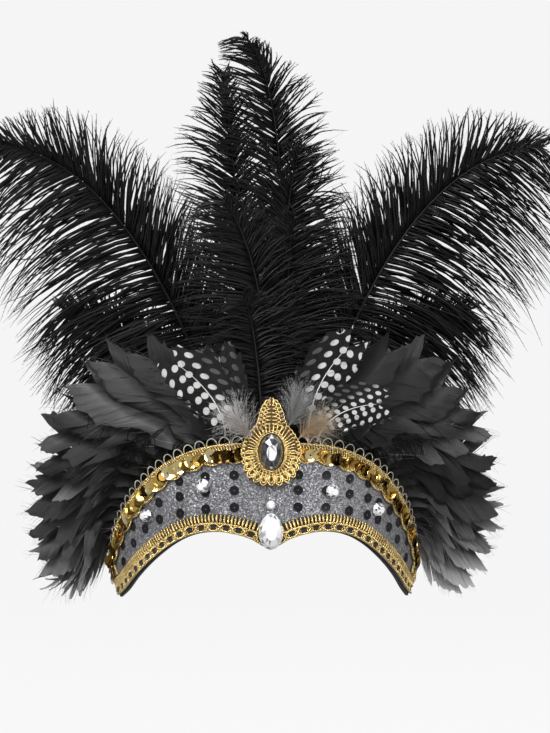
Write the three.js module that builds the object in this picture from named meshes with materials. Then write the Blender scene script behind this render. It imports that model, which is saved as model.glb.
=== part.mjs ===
// A carnival feather headdress: a stiff felt crescent worn across the brow, faced with glitter cloth
// and edged with gold trim, carrying stones, a gold medallion and a fan of feathers behind it.
// Millimetres, +Z up, the wearer faces -Y. The origin lies on the axis of the brow's curve,
// level with the lowest point of the crescent's middle.
import * as THREE from "three";

// Brow crescent
const seatRadius = 86; // outer face of the felt, level with the origin
const flare = 0.06; // outward lean of the wall for each mm of height
const feltThickness = 2;
const clothThickness = 1;
const clothMargin = 0.8; // bare felt along the edges
const clothEndMargin = 3; // bare felt at the two ends
const gap = 0.3; // clearance between neighbours
const wallColumns = 56;

// Trim along the crescent's edges
const braid = { width: 9.5, thickness: 1.5, inset: 0.4, end: 0.985 };
const sequinTrim = { width: 10, thickness: 2, inset: 0.4, end: 0.955 };

// Medallion, and the stones on it and on the cloth
const medallionThickness = 2;
const ovalStone = { width: 12.5, height: 19.5, depth: 5, centreZ: 51.5, facets: 16 };
const pearStone = { width: 13.5, height: 20, depth: 5.5, centreZ: 9.2, taper: 0.35, facets: 20 };
const dropStone = { diameter: 5, depth: 2.4, centreZ: 23, facets: 10 };
const roundStone = { diameter: 8, depth: 3.6, facets: 12 };

// Feathers
const quillRadius = 1.2;
const quillGap = 0.5; // the quills' clearance behind the felt
const sideNeckRise = 6; // a side feather's quill clears the edge by this before it turns outwards
const sidePullRise = 25;
const sideBend = 0.4; // where along its reach a side feather has straightened
const plumeLeanHeight = 75; // a plume leans back to its own layer within this height
const sweepBack = THREE.MathUtils.degToRad(24); // the outermost side feathers lean back by this
const tuftDepth = -97;
const tipCrowding = 0.55; // how much closer a feather form's sections stand towards its tip
const tipBluntness = 0.65; // 1 draws a feather's vane out to a slender tip, less rounds it
const nodPower = 4; // a higher power keeps a plume's nod closer to its tip

// belowEdge is how far a quill runs down the back of the felt, quill its bare length,
// fullness how low the vane is widest and steps how many sections the form has.
const forms = {
  plume: { belowEdge: 24, quill: 34, thickness: 4, fullness: 0.8, steps: 12 },
  guinea: { belowEdge: 9, quill: 16, thickness: 2, fullness: 0.8, steps: 8 },
  tuft: { quill: 0, thickness: 3, fullness: 0.9, steps: 6 },
  side: { belowEdge: 11, quill: 15, thickness: 1.9, fullness: 0.8, steps: 8 },
};

// Each rib of the half crescent joins the lower edge to the upper edge.
// Angles are from the front, in degrees.
const ribs = [
  { lowAngle: 0, lowZ: 0, highAngle: 0, highZ: 56.5 },
  { lowAngle: 3, lowZ: 1.2, highAngle: 3.5, highZ: 56.5 },
  { lowAngle: 7, lowZ: 4.6, highAngle: 8, highZ: 56.3 },
  { lowAngle: 13, lowZ: 7.3, highAngle: 15, highZ: 55.8 },
  { lowAngle: 20, lowZ: 8.4, highAngle: 23, highZ: 54 },
  { lowAngle: 28, lowZ: 6.6, highAngle: 31, highZ: 50 },
  { lowAngle: 36, lowZ: 1.6, highAngle: 40, highZ: 43.5 },
  { lowAngle: 46, lowZ: -7.5, highAngle: 50, highZ: 33 },
  { lowAngle: 56, lowZ: -17.5, highAngle: 60, highZ: 20.5 },
  { lowAngle: 64.5, lowZ: -26, highAngle: 71, highZ: 5 },
  { lowAngle: 73, lowZ: -31, highAngle: 81, highZ: -11 },
];

// The medallion's outline, as half widths up its height.
const medallionSections = [
  { z: 33.4, half: 4 },
  { z: 35.5, half: 9 },
  { z: 39, half: 12.5 },
  { z: 45, half: 14.6 },
  { z: 51, half: 15 },
  { z: 57, half: 13.6 },
  { z: 62, half: 10.5 },
  { z: 66.5, half: 7 },
  { z: 72, half: 6 },
  { z: 77, half: 4 },
  { z: 80.4, half: 1 },
];

const roundStones = [
  { name: "round_stone_1", angle: -48, z: 16 },
  { name: "round_stone_2", angle: -23.7, z: 33 },
  { name: "round_stone_3", angle: 22, z: 30 },
  { name: "round_stone_4", angle: 42, z: 19.4 },
];

// Ostrich plumes. The shaft is a curve from the quill at rootX behind the crescent's middle, drawn by a
// pull and a bend, to the tip. depth is the layer it stands in and curl how far its tip nods forward.
// left and right are its half widths seen from the front with the tip up.
// A mirrored row has a twin on the other side.
const plumes = [
  { name: "plume_low_front", rootX: -3.6, pullX: -4, pullZ: 95, bendX: -10, bendZ: 130,
    tipX: -15, tipZ: 134, depth: -80, curl: 5, left: 20, right: 24 },
  { name: "plume_front_left", rootX: 0, pullX: 2, pullZ: 110, bendX: -6, bendZ: 164,
    tipX: -25, tipZ: 186, depth: -73, curl: 8, left: 32, right: 25 },
  { name: "plume_front_right", rootX: 3.6, pullX: 10, pullZ: 100, bendX: 9, bendZ: 160,
    tipX: 14, tipZ: 178, depth: -67, curl: 8, left: 22, right: 32 },
  { name: "plume_mid_right", rootX: 7.2, pullX: 8, pullZ: 110, bendX: 8, bendZ: 200,
    tipX: 19, tipZ: 217, depth: -50, curl: 8, left: 26, right: 26 },
  { name: "plume_tall", rootX: 10.8, pullX: 10, pullZ: 130, bendX: 15, bendZ: 262,
    tipX: -13, tipZ: 282, depth: -43, curl: 16, left: 26, right: 30 },
  { name: "plume_tall_left", rootX: -7.2, pullX: -10, pullZ: 125, bendX: -18, bendZ: 222,
    tipX: -24, tipZ: 260, depth: -36, curl: 6, left: 29, right: 25 },
  { name: "plume_side", mirrored: true, rootX: -14.4, pullX: -46, pullZ: 135, bendX: -88, bendZ: 217,
    tipX: -152, tipZ: 217, depth: -55.5, curl: 10, left: 54, right: 36 },
  { name: "plume_low_side", mirrored: true, rootX: -18, pullX: -40, pullZ: 92, bendX: -76, bendZ: 122,
    tipX: -112, tipZ: 128, depth: -43.5, curl: 4, left: 36, right: 18 },
];

// Spotted guinea fowl feathers, which lean forward over the trim on both sides of the medallion.
const guineaFeathers = [
  { name: "guinea_left_outer", rootX: -25.5, pullX: -20, pullZ: 70, bendX: -33, bendZ: 86,
    tipX: -51, tipZ: 99, depth: -92.5, leanHeight: 10, half: 13.5 },
  { name: "guinea_left_inner", rootX: -22, pullX: -20, pullZ: 70, bendX: -25, bendZ: 88,
    tipX: -28, tipZ: 104, depth: -88, leanHeight: 18, half: 12 },
  { name: "guinea_right_upper", rootX: 22, pullX: 17, pullZ: 72, bendX: 25, bendZ: 92,
    tipX: 43, tipZ: 109, depth: -88, leanHeight: 18, half: 13.5 },
  { name: "guinea_right_lower", rootX: 25.5, pullX: 22, pullZ: 66, bendX: 36, bendZ: 76,
    tipX: 58, tipZ: 77, depth: -92.5, leanHeight: 10, half: 12 },
];

// Tufts of down that stand beside the medallion.
const downTufts = [
  { name: "down_left", x: -18.5, z: 68.5, lean: 40, length: 24, half: 8 },
  { name: "down_right_upper", x: 14.5, z: 77, lean: -25, length: 25, half: 7 },
  { name: "down_right_lower", x: 25.5, z: 66, lean: -60, length: 24, half: 7 },
];

// Short cock feathers round both sides, from the middle outwards. angle is where the quill stands on the
// crescent, and the fans are the directions that the left and right ones take, in degrees from upright.
const sideFeathers = [
  { angle: 20, leftFan: 41, rightFan: 38, length: 56, half: 11 },
  { angle: 26, leftFan: 49, rightFan: 46, length: 63, half: 12 },
  { angle: 32, leftFan: 56, rightFan: 58, length: 60, half: 13 },
  { angle: 38, leftFan: 66, rightFan: 65, length: 58, half: 12 },
  { angle: 43, leftFan: 76, rightFan: 72, length: 61, half: 11 },
  { angle: 48, leftFan: 82, rightFan: 81, length: 55, half: 12 },
  { angle: 53, leftFan: 89, rightFan: 87, length: 56, half: 11 },
  { angle: 58, leftFan: 93, rightFan: 95, length: 54, half: 12 },
  { angle: 62.5, leftFan: 101, rightFan: 99, length: 53, half: 12 },
  { angle: 67, leftFan: 108, rightFan: 105, length: 50, half: 11 },
  { angle: 71, leftFan: 114, rightFan: 112, length: 49, half: 11 },
  { angle: 75, leftFan: 122, rightFan: 119, length: 45, half: 10 },
  { angle: 79, leftFan: 124, rightFan: 122, length: 38, half: 9 },
];

const felt = new THREE.MeshStandardMaterial({ color: 0x121213, roughness: 0.95 });
const glitterCloth = new THREE.MeshStandardMaterial({ color: 0x9b9ba0, roughness: 0.45, metalness: 0.6 });
const goldBraid = new THREE.MeshStandardMaterial({ color: 0xb08a35, roughness: 0.4, metalness: 0.9 });
const goldSequins = new THREE.MeshStandardMaterial({ color: 0xd1a83c, roughness: 0.2, metalness: 1 });
const clearStone = new THREE.MeshStandardMaterial({ color: 0xe8eaee, roughness: 0.05 });
const smokeStone = new THREE.MeshStandardMaterial({ color: 0x6d7078, roughness: 0.05 });
const ostrich = new THREE.MeshStandardMaterial({ color: 0x0b0b0c, roughness: 0.7 });
const cock = new THREE.MeshStandardMaterial({ color: 0x1b1b1d, roughness: 0.5 });
const guinea = new THREE.MeshStandardMaterial({ color: 0x1a1a1b, roughness: 0.6 });
const down = new THREE.MeshStandardMaterial({ color: 0x9a9088, roughness: 0.9 });

const radians = THREE.MathUtils.degToRad;

// A point of the brow wall: arc is measured round it from the front, offset outwards from the felt's face.
function wallPoint(arc, height, offset) {
  const angle = arc / seatRadius;
  const radius = seatRadius + flare * height + offset;
  return new THREE.Vector3(radius * Math.sin(angle), -radius * Math.cos(angle), height);
}

// A smooth edge of the whole crescent, laid flat as (arc, height), from its left end to its right end.
function edgeCurve(angleColumn, heightColumn) {
  const flat = (rib) => new THREE.Vector2(radians(rib[angleColumn]) * seatRadius, rib[heightColumn]);
  const rightHalf = ribs.map(flat);
  const leftHalf = rightHalf.slice(1).reverse().map((p) => new THREE.Vector2(-p.x, p.y));
  return new THREE.SplineCurve([...leftHalf, ...rightHalf]);
}
const lowerEdge = edgeCurve("lowAngle", "lowZ");
const upperEdge = edgeCurve("highAngle", "highZ");

// The upper edge's height at a given angle from the front.
function upperEdgeHeight(angle) {
  const after = Math.max(1, ribs.findIndex((rib) => rib.highAngle >= Math.abs(angle)));
  const [inner, outer] = [ribs[after - 1], ribs[after]];
  const share = (Math.abs(angle) - inner.highAngle) / (outer.highAngle - inner.highAngle);
  return THREE.MathUtils.lerp(inner.highZ, outer.highZ, share);
}

// A geometry from points and triangles, turned to face outwards.
function closedGeometry(points, triangles) {
  const [across, volume] = [new THREE.Vector3(), { sum: 0 }];
  for (const [a, b, c] of triangles) {
    volume.sum += across.crossVectors(points[a], points[b]).dot(points[c]);
  }
  const index = triangles.flatMap(([a, b, c]) => (volume.sum < 0 ? [a, c, b] : [a, b, c]));
  const geometry = new THREE.BufferGeometry().setFromPoints(points);
  geometry.setIndex(index);
  geometry.computeVertexNormals();
  return geometry;
}

// A sheet with thickness: point(i, j, face) gives its back face at 0 and its front face at 1.
function slab(columns, rows, point) {
  const points = [];
  const triangles = [];
  const at = (i, j, face) => (face * (columns + 1) + i) * (rows + 1) + j;
  const quad = (a, b, c, d) => triangles.push([a, b, c], [a, c, d]);
  for (const face of [0, 1]) {
    for (let i = 0; i <= columns; i++) {
      for (let j = 0; j <= rows; j++) points.push(point(i, j, face));
    }
  }
  for (let i = 0; i < columns; i++) {
    for (let j = 0; j < rows; j++) {
      quad(at(i, j, 1), at(i + 1, j, 1), at(i + 1, j + 1, 1), at(i, j + 1, 1));
      quad(at(i, j, 0), at(i, j + 1, 0), at(i + 1, j + 1, 0), at(i + 1, j, 0));
    }
    quad(at(i, 0, 0), at(i + 1, 0, 0), at(i + 1, 0, 1), at(i, 0, 1));
    quad(at(i, rows, 1), at(i + 1, rows, 1), at(i + 1, rows, 0), at(i, rows, 0));
  }
  for (let j = 0; j < rows; j++) {
    quad(at(0, j, 1), at(0, j + 1, 1), at(0, j + 1, 0), at(0, j, 0));
    quad(at(columns, j, 0), at(columns, j + 1, 0), at(columns, j + 1, 1), at(columns, j, 1));
  }
  return closedGeometry(points, triangles);
}

// A skin over rings of equally many points, closed by a flat cap at both ends.
function loft(rings) {
  const sides = rings[0].length;
  const triangles = [];
  for (let k = 0; k < rings.length - 1; k++) {
    for (let i = 0; i < sides; i++) {
      const [a, b] = [k * sides + i, k * sides + ((i + 1) % sides)];
      triangles.push([a, b, b + sides], [a, b + sides, a + sides]);
    }
  }
  const last = (rings.length - 1) * sides;
  for (let i = 1; i < sides - 1; i++) {
    triangles.push([0, i + 1, i], [last, last + i, last + i + 1]);
  }
  return closedGeometry(rings.flat(), triangles);
}

function piece(name, geometry, material) {
  const mesh = new THREE.Mesh(geometry, material);
  mesh.name = name;
  return mesh;
}

// A wall over the whole crescent between two offsets, kept back from its edges and ends by margins.
function crescentWall(inner, outer, edgeMargin, endMargin) {
  const rows = 4;
  const endShare = endMargin / lowerEdge.getLength();
  return slab(wallColumns, rows, (i, j, face) => {
    const along = THREE.MathUtils.lerp(endShare, 1 - endShare, i / wallColumns);
    const [low, high] = [lowerEdge.getPoint(along), upperEdge.getPoint(along)];
    const margin = edgeMargin / low.distanceTo(high);
    const place = low.lerp(high, THREE.MathUtils.lerp(margin, 1 - margin, j / rows));
    return wallPoint(place.x, place.y, face ? outer : inner);
  });
}

// A strip of even width along one edge, on top of the cloth.
// side is 1 above a lower edge and -1 below an upper one.
function edgeStrip(edge, side, trim) {
  const rows = 2;
  const base = clothThickness + 2 * gap;
  return slab(wallColumns, rows, (i, j, face) => {
    const along = 0.5 + (trim.end - 0.5) * (2 * (i / wallColumns) - 1);
    const place = edge.getPoint(along);
    const tangent = edge.getTangent(along);
    const reach = side * (trim.inset + (trim.width * j) / rows);
    const [arc, height] = [place.x - tangent.y * reach, place.y + tangent.x * reach];
    return wallPoint(arc, height, base + face * trim.thickness);
  });
}

function medallion() {
  const columns = 6;
  const base = clothThickness + sequinTrim.thickness + 3 * gap;
  return slab(columns, medallionSections.length - 1, (i, j, face) => {
    const section = medallionSections[j];
    const arc = section.half * ((2 * i) / columns - 1);
    return wallPoint(arc, section.z, base + face * medallionThickness);
  });
}

// A flat-backed faceted stone, standing on its back: girdle, crown and table of an outline given by angle.
function facetedStone({ facets, depth }, outline) {
  const levels = [
    { share: 0.97, height: 0 },
    { share: 1, height: 0.22 },
    { share: 0.8, height: 0.68 },
    { share: 0.46, height: 1 },
  ];
  return loft(levels.map(({ share, height }) =>
    Array.from({ length: facets }, (_, i) => {
      const [x, y] = outline((2 * Math.PI * i) / facets);
      return new THREE.Vector3(share * x, share * y, depth * height);
    }),
  ));
}

const ovalOutline = (width, height) => (a) => [(width / 2) * Math.cos(a), (height / 2) * Math.sin(a)];

// Round below and drawn in to a point above.
function pearOutline({ width, height, taper }) {
  return (a) => {
    const rise = Math.max(0, Math.sin(a));
    return [(width / 2) * Math.cos(a) * (1 - taper * rise * rise), (height / 2) * Math.sin(a)];
  };
}

// A group that stands on the wall, with its own Z pointing out and its own Y up the wall.
function onWall(angle, z, offset, mesh) {
  const holder = new THREE.Group();
  const turn = radians(angle);
  const right = new THREE.Vector3(Math.cos(turn), Math.sin(turn), 0);
  const up = new THREE.Vector3(flare * Math.sin(turn), -flare * Math.cos(turn), 1).normalize();
  holder.quaternion.setFromRotationMatrix(
    new THREE.Matrix4().makeBasis(right, up, new THREE.Vector3().crossVectors(right, up)),
  );
  holder.position.copy(wallPoint(turn * seatRadius, z, offset));
  holder.add(mesh);
  return holder;
}

// How wide a feather's vane is along its shaft, as a share of its widest:
// none on the quill, blunt at the tip.
function vaneShare(along, quillEnd, fullness) {
  const onVane = THREE.MathUtils.clamp((along - quillEnd) / (1 - quillEnd), 0, 1);
  return Math.sin(Math.PI * onVane ** fullness) ** tipBluntness;
}

// The outer form of a feather: a flat lens round a curved shaft, facing the given way.
const lens = [
  { side: -1, rise: 0 },
  { side: -0.5, rise: 0.5 },
  { side: 0.5, rise: 0.5 },
  { side: 1, rise: 0 },
  { side: 0.5, rise: -0.5 },
  { side: -0.5, rise: -0.5 },
];
function featherForm(shaft, face, left, right, { quill, thickness, fullness, steps }) {
  const rings = [];
  const quillEnd = quill / shaft.getLength();
  const stations = quill > 0 ? [0, quillEnd / 2] : [];
  for (let k = 0; k <= steps; k++) {
    const onVane = THREE.MathUtils.lerp(k / steps, Math.sin((Math.PI * k) / (2 * steps)), tipCrowding);
    stations.push(THREE.MathUtils.lerp(quillEnd, 1, onVane));
  }
  for (const along of stations) {
    const share = vaneShare(along, quillEnd, fullness);
    const tangent = shaft.getTangentAt(along);
    const across = new THREE.Vector3().crossVectors(tangent, face).normalize();
    const normal = new THREE.Vector3().crossVectors(across, tangent);
    const depth = THREE.MathUtils.lerp(2 * quillRadius, thickness, share);
    rings.push(lens.map(({ side, rise }) => {
      const half = quillRadius + share * ((side < 0 ? left : right) - quillRadius);
      const centre = shaft.getPointAt(along);
      return centre.addScaledVector(across, side * half).addScaledVector(normal, rise * depth);
    }));
  }
  return loft(rings);
}

// The quill's place on the back of the felt, below the upper edge.
function quillRoot(angle, belowEdge) {
  const height = upperEdgeHeight(angle) - belowEdge;
  return wallPoint(radians(angle) * seatRadius, height, -(feltThickness + quillGap + quillRadius));
}

const facingFront = new THREE.Vector3(0, -1, 0);

// A shaft that bends in the front view and leans to its own layer as it rises, its tip nodding forward.
class LeaningShaft extends THREE.Curve {
  constructor(root, row, flip, leanStart, leanHeight) {
    super();
    Object.assign(this, { root, depth: row.depth, curl: row.curl ?? 0, leanStart, leanHeight });
    this.front = new THREE.CubicBezierCurve(
      new THREE.Vector2(root.x, root.z),
      new THREE.Vector2(flip * row.pullX, row.pullZ),
      new THREE.Vector2(flip * row.bendX, row.bendZ),
      new THREE.Vector2(flip * row.tipX, row.tipZ),
    );
  }

  getPoint(along) {
    const { x, y: z } = this.front.getPoint(along);
    const lean = THREE.MathUtils.smoothstep(z, this.leanStart, this.leanStart + this.leanHeight);
    const depth = THREE.MathUtils.lerp(this.root.y, this.depth, lean);
    return new THREE.Vector3(x, depth - this.curl * along ** nodPower, z);
  }
}

// The place behind the crescent of a quill that stands at x.
function rootAt(x, belowEdge) {
  return quillRoot(THREE.MathUtils.radToDeg(Math.asin(x / seatRadius)), belowEdge);
}

function plume(row, flip) {
  const [left, right] = flip > 0 ? [row.left, row.right] : [row.right, row.left];
  const root = rootAt(flip * row.rootX, forms.plume.belowEdge);
  const shaft = new LeaningShaft(root, row, flip, root.z, plumeLeanHeight);
  return featherForm(shaft, facingFront, left, right, forms.plume);
}

function guineaFeather(row) {
  const root = rootAt(row.rootX, forms.guinea.belowEdge);
  const leanStart = root.z + forms.guinea.belowEdge + quillRadius;
  const shaft = new LeaningShaft(root, row, 1, leanStart, row.leanHeight);
  return featherForm(shaft, facingFront, row.half, row.half, forms.guinea);
}

function downTuft(row) {
  const lean = radians(row.lean);
  const reach = new THREE.Vector3(-Math.sin(lean), 0, Math.cos(lean)).multiplyScalar(row.length / 2);
  const middle = new THREE.Vector3(row.x, tuftDepth, row.z);
  const shaft = new THREE.LineCurve3(middle.clone().sub(reach), middle.clone().add(reach));
  return featherForm(shaft, facingFront, row.half, row.half, forms.tuft);
}

function sideFeather(row, side, fan) {
  const outermost = sideFeathers.at(-1).angle;
  const sweep = (sweepBack * (row.angle - sideFeathers[0].angle)) / (outermost - sideFeathers[0].angle);
  const turn = radians(fan);
  const reach = new THREE.Vector3(
    side * Math.sin(turn) * Math.cos(sweep), Math.sin(turn) * Math.sin(sweep), Math.cos(turn));
  const root = quillRoot(side * row.angle, forms.side.belowEdge);
  const edge = root.z + forms.side.belowEdge;
  const neck = root.clone().setZ(edge + sideNeckRise);
  const shaft = new THREE.CubicBezierCurve3(
    root,
    root.clone().setZ(edge + sidePullRise),
    neck.clone().addScaledVector(reach, sideBend * row.length),
    neck.clone().addScaledVector(reach, row.length),
  );
  const face = new THREE.Vector3(side * Math.sin(sweep), -Math.cos(sweep), 0);
  return featherForm(shaft, face, row.half, row.half, forms.side);
}

function brow() {
  const group = new THREE.Group();
  const onCloth = clothThickness + 2 * gap;
  const onBraid = onCloth + braid.thickness + 2 * gap;
  const onMedallion = clothThickness + sequinTrim.thickness + medallionThickness + 5 * gap;
  group.add(
    piece("felt_base", crescentWall(-feltThickness, 0, 0, 0), felt),
    piece("glitter_cloth", crescentWall(gap, onCloth - gap, clothMargin, clothEndMargin), glitterCloth),
    piece("lower_braid", edgeStrip(lowerEdge, 1, braid), goldBraid),
    piece("sequin_trim", edgeStrip(upperEdge, -1, sequinTrim), goldSequins),
    piece("medallion", medallion(), goldBraid),
  );
  const oval = facetedStone(ovalStone, ovalOutline(ovalStone.width, ovalStone.height));
  group.add(onWall(0, ovalStone.centreZ, onMedallion, piece("oval_stone", oval, smokeStone)));
  const pear = facetedStone(pearStone, pearOutline(pearStone));
  group.add(onWall(0, pearStone.centreZ, onBraid, piece("pear_stone", pear, clearStone)));
  const drop = facetedStone(dropStone, ovalOutline(dropStone.diameter, dropStone.diameter));
  group.add(onWall(0, dropStone.centreZ, onCloth, piece("drop_stone", drop, clearStone)));
  for (const { name, angle, z } of roundStones) {
    const stone = facetedStone(roundStone, ovalOutline(roundStone.diameter, roundStone.diameter));
    group.add(onWall(angle, z, onCloth, piece(name, stone, clearStone)));
  }
  return group;
}

function feathers() {
  const group = new THREE.Group();
  for (const row of plumes) {
    if (row.mirrored) {
      group.add(piece(`${row.name}_left`, plume(row, 1), ostrich));
      group.add(piece(`${row.name}_right`, plume(row, -1), ostrich));
    } else {
      group.add(piece(row.name, plume(row, 1), ostrich));
    }
  }
  for (const row of guineaFeathers) group.add(piece(row.name, guineaFeather(row), guinea));
  for (const row of downTufts) group.add(piece(row.name, downTuft(row), down));
  sideFeathers.forEach((row, k) => {
    group.add(
      piece(`side_feather_left_${k + 1}`, sideFeather(row, -1, row.leftFan), cock),
      piece(`side_feather_right_${k + 1}`, sideFeather(row, 1, row.rightFan), cock),
    );
  });
  return group;
}

const headdress = new THREE.Group();
headdress.add(brow(), feathers());

export default headdress;
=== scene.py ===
import bpy
import math
import numpy as np
from mathutils import Matrix, Vector


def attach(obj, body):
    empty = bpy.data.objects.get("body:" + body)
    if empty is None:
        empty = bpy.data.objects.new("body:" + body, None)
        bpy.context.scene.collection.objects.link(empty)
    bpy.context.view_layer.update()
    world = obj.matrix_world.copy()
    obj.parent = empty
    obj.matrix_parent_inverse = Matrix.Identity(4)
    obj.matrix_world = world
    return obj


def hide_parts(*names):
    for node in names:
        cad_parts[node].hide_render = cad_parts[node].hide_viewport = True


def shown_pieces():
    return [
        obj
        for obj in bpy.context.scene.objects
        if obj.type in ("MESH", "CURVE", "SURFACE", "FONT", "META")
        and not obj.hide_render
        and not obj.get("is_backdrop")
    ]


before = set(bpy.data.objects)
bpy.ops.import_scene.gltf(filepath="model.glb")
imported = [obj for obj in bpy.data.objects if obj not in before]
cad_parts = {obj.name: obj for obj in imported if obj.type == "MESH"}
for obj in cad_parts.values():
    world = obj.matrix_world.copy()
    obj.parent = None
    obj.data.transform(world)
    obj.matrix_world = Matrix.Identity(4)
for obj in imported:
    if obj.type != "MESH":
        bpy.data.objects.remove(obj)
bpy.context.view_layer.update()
mm = 0.001
print("frame loaded")


# camera, a little to the left of straight on and level
shot = {"turn": -3.2, "target": (4.7, -45, 97), "distance": 1.5, "frameHeight": 0.403, "sensor": 36}
turn = math.radians(shot["turn"])
aim = Vector(shot["target"]) * mm
bpy.ops.object.camera_add(
    location=aim + Vector((math.sin(turn), -math.cos(turn), 0)) * shot["distance"],
    rotation=(math.pi / 2, 0, turn))
camera = bpy.context.object
camera.data.sensor_width = shot["sensor"]
camera.data.lens = shot["sensor"] * shot["distance"] / shot["frameHeight"]
camera.data.clip_end = 60
bpy.context.scene.camera = camera
bpy.context.scene.view_settings.view_transform = "Standard"


# small helpers
def clearSelection():
    if bpy.context.object and bpy.context.object.mode != "OBJECT":
        bpy.ops.object.mode_set(mode="OBJECT")
    bpy.ops.object.select_all(action="DESELECT")


def makeActive(piece):
    clearSelection()
    piece.select_set(True)
    bpy.context.view_layer.objects.active = piece


def applyModifiers(piece):
    makeActive(piece)
    for modifier in list(piece.modifiers):
        bpy.ops.object.modifier_apply(modifier=modifier.name)


def finishPiece(piece, material, slot, *nodes):
    piece.data.materials.clear()
    piece.data.materials.append(material)
    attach(piece, "root")
    if nodes:
        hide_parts(*nodes)
    return piece


def unit(vectors):
    return vectors / np.maximum(np.linalg.norm(vectors, axis=-1, keepdims=True), 1e-12)


def smoothStep(value, low, high):
    share = np.clip((value - low) / (high - low), 0, 1)
    return share * share * (3 - 2 * share)


# strand bundles: closed tubes along many paths at once, kept as arrays until they are joined
def tubes(paths, radii, sides=3, flat=1.0, facing=(0, -1, 0), shade=0.5, reach=None):
    count, steps, _ = paths.shape
    tangent = unit(np.gradient(paths, axis=1))
    across = unit(np.cross(tangent, np.asarray(facing, float)))
    normal = np.cross(across, tangent)
    angle = np.arange(sides) * 2 * np.pi / sides
    ring = across[:, :, None] * np.cos(angle)[:, None] + normal[:, :, None] * (flat * np.sin(angle))[:, None]
    radii = np.broadcast_to(radii, (count, steps))
    points = paths[:, :, None] + ring * radii[:, :, None, None]
    index = np.arange(count * steps * sides).reshape(count, steps, sides)
    a, b = index[:, :-1], index[:, 1:]
    a2, b2 = np.roll(a, -1, 2), np.roll(b, -1, 2)
    walls = np.stack([a, b2, a2, a, b, b2], -1)
    k = np.arange(1, sides - 1)
    first, last = index[:, 0], index[:, -1]
    lid = np.stack([np.broadcast_to(first[:, :1], first[:, k].shape), first[:, k], first[:, k + 1]], -1)
    end = np.stack([np.broadcast_to(last[:, :1], last[:, k].shape), last[:, k + 1], last[:, k]], -1)
    along = np.broadcast_to(np.linspace(0, 1, steps) if reach is None else reach, (count, steps))
    tone = np.asarray(shade, float)
    tone = np.broadcast_to(tone if tone.ndim == 2 else tone.reshape(-1, 1), (count, steps))
    # each tube has a cell of its own in the flat map, opened along its length
    cell = int(np.ceil(np.sqrt(count)))
    column, row = (v.reshape(-1, 1, 1, 1) for v in (np.arange(count) % cell, np.arange(count) // cell))
    stepOf = np.arange(steps - 1)[:, None, None] + np.array([0, 1, 0, 0, 1, 1]) + np.zeros((sides, 1), int)
    turnOf = (np.arange(sides)[:, None] + np.array([0, 1, 1, 0, 0, 1])) / sides + np.zeros((steps - 1, 1, 1))
    wallMap = np.stack([(column + 0.06 + 0.88 * stepOf / (steps - 1)) / cell, (row + 0.06 + 0.8 * turnOf) / cell], -1)
    capMap = np.stack(np.broadcast_arrays((column + 0.06 + np.array([0, 0.3, 0])) / cell,
                                          (row + 0.88 + np.array([0, 0, 0.1])) / cell), -1)
    capMap = np.broadcast_to(capMap, (count, 2, sides - 2, 3, 2))
    run = np.cumsum(np.linalg.norm(np.diff(paths, axis=1, prepend=paths[:, :1]), axis=2), axis=1) * 100
    wallLay = np.stack(np.broadcast_arrays(run[:, stepOf], turnOf), -1)
    return {
        "points": points.reshape(-1, 3),
        "faces": np.concatenate([walls.reshape(-1, 3), lid.reshape(-1, 3), end.reshape(-1, 3)]),
        "shade": np.repeat(tone.ravel(), sides),
        "reach": np.repeat(along.ravel(), sides),
        "map": np.concatenate([wallMap.reshape(-1, 2), capMap.reshape(-1, 2)]),
        "lay": np.concatenate([wallLay.reshape(-1, 2), np.full((capMap.size // 2, 2), 0.5)]),
    }


# fine needles with three sides and a point, for the fluff along a barb
def needles(roots, tips, radius, shade, reach, at):
    count = len(roots)
    along = unit(tips - roots)
    across = unit(np.cross(along, (0.31, -0.9, 0.27)))
    normal = np.cross(across, along)
    angle = np.arange(3) * 2 * np.pi / 3
    ring = across[:, None] * np.cos(angle)[:, None] + normal[:, None] * np.sin(angle)[:, None]
    points = np.concatenate([roots[:, None] + ring * np.reshape(radius, (-1, 1, 1)), tips[:, None]], axis=1)
    corner = np.array([(0, 3, 1), (1, 3, 2), (2, 3, 0), (0, 1, 2)])
    spread = np.array([[0, 0], [0.0016, 0.0024], [0, 0.0048], [0.0048, 0.0024]])
    return {
        "points": points.reshape(-1, 3),
        "faces": (np.arange(count)[:, None, None] * 4 + corner).reshape(-1, 3),
        "shade": np.repeat(shade, 4),
        "reach": np.repeat(reach, 4),
        "map": (at[:, None, None] + spread[corner]).reshape(-1, 2),
        "lay": np.zeros((count * 12, 2)),
    }


def joinBundles(name, bundles):
    mesh = bpy.data.meshes.new(name)
    start = np.cumsum([0] + [len(b["points"]) for b in bundles])
    points = np.concatenate([b["points"] for b in bundles])
    faces = np.concatenate([b["faces"] + s for b, s in zip(bundles, start)]).astype(np.int32)
    mesh.vertices.add(len(points))
    mesh.vertices.foreach_set("co", points.astype(np.float32).ravel())
    mesh.loops.add(faces.size)
    mesh.loops.foreach_set("vertex_index", faces.ravel())
    mesh.polygons.add(len(faces))
    mesh.polygons.foreach_set("loop_start", np.arange(0, faces.size, 3, dtype=np.int32))
    mesh.update(calc_edges=True)
    for key in ("shade", "reach"):
        layer = mesh.attributes.new(key, "FLOAT", "POINT")
        layer.data.foreach_set("value", np.concatenate([b[key] for b in bundles]).astype(np.float32))
    bands = [(b["map"] + (0, k)) / (1, len(bundles)) for k, b in enumerate(bundles)]
    layers = {"OFBake": np.concatenate(bands), "lay": np.concatenate([b["lay"] for b in bundles])}
    if all("vane" in b for b in bundles):
        layers["vane"] = np.concatenate([b["vane"] for b in bundles])[faces.ravel()]
    for layerName, corners in layers.items():
        mesh.uv_layers.new(name=layerName).data.foreach_set("uv", corners.astype(np.float32).ravel())
    piece = bpy.data.objects.new(name, mesh)
    bpy.context.collection.objects.link(piece)
    mesh.shade_smooth()
    return piece


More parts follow.
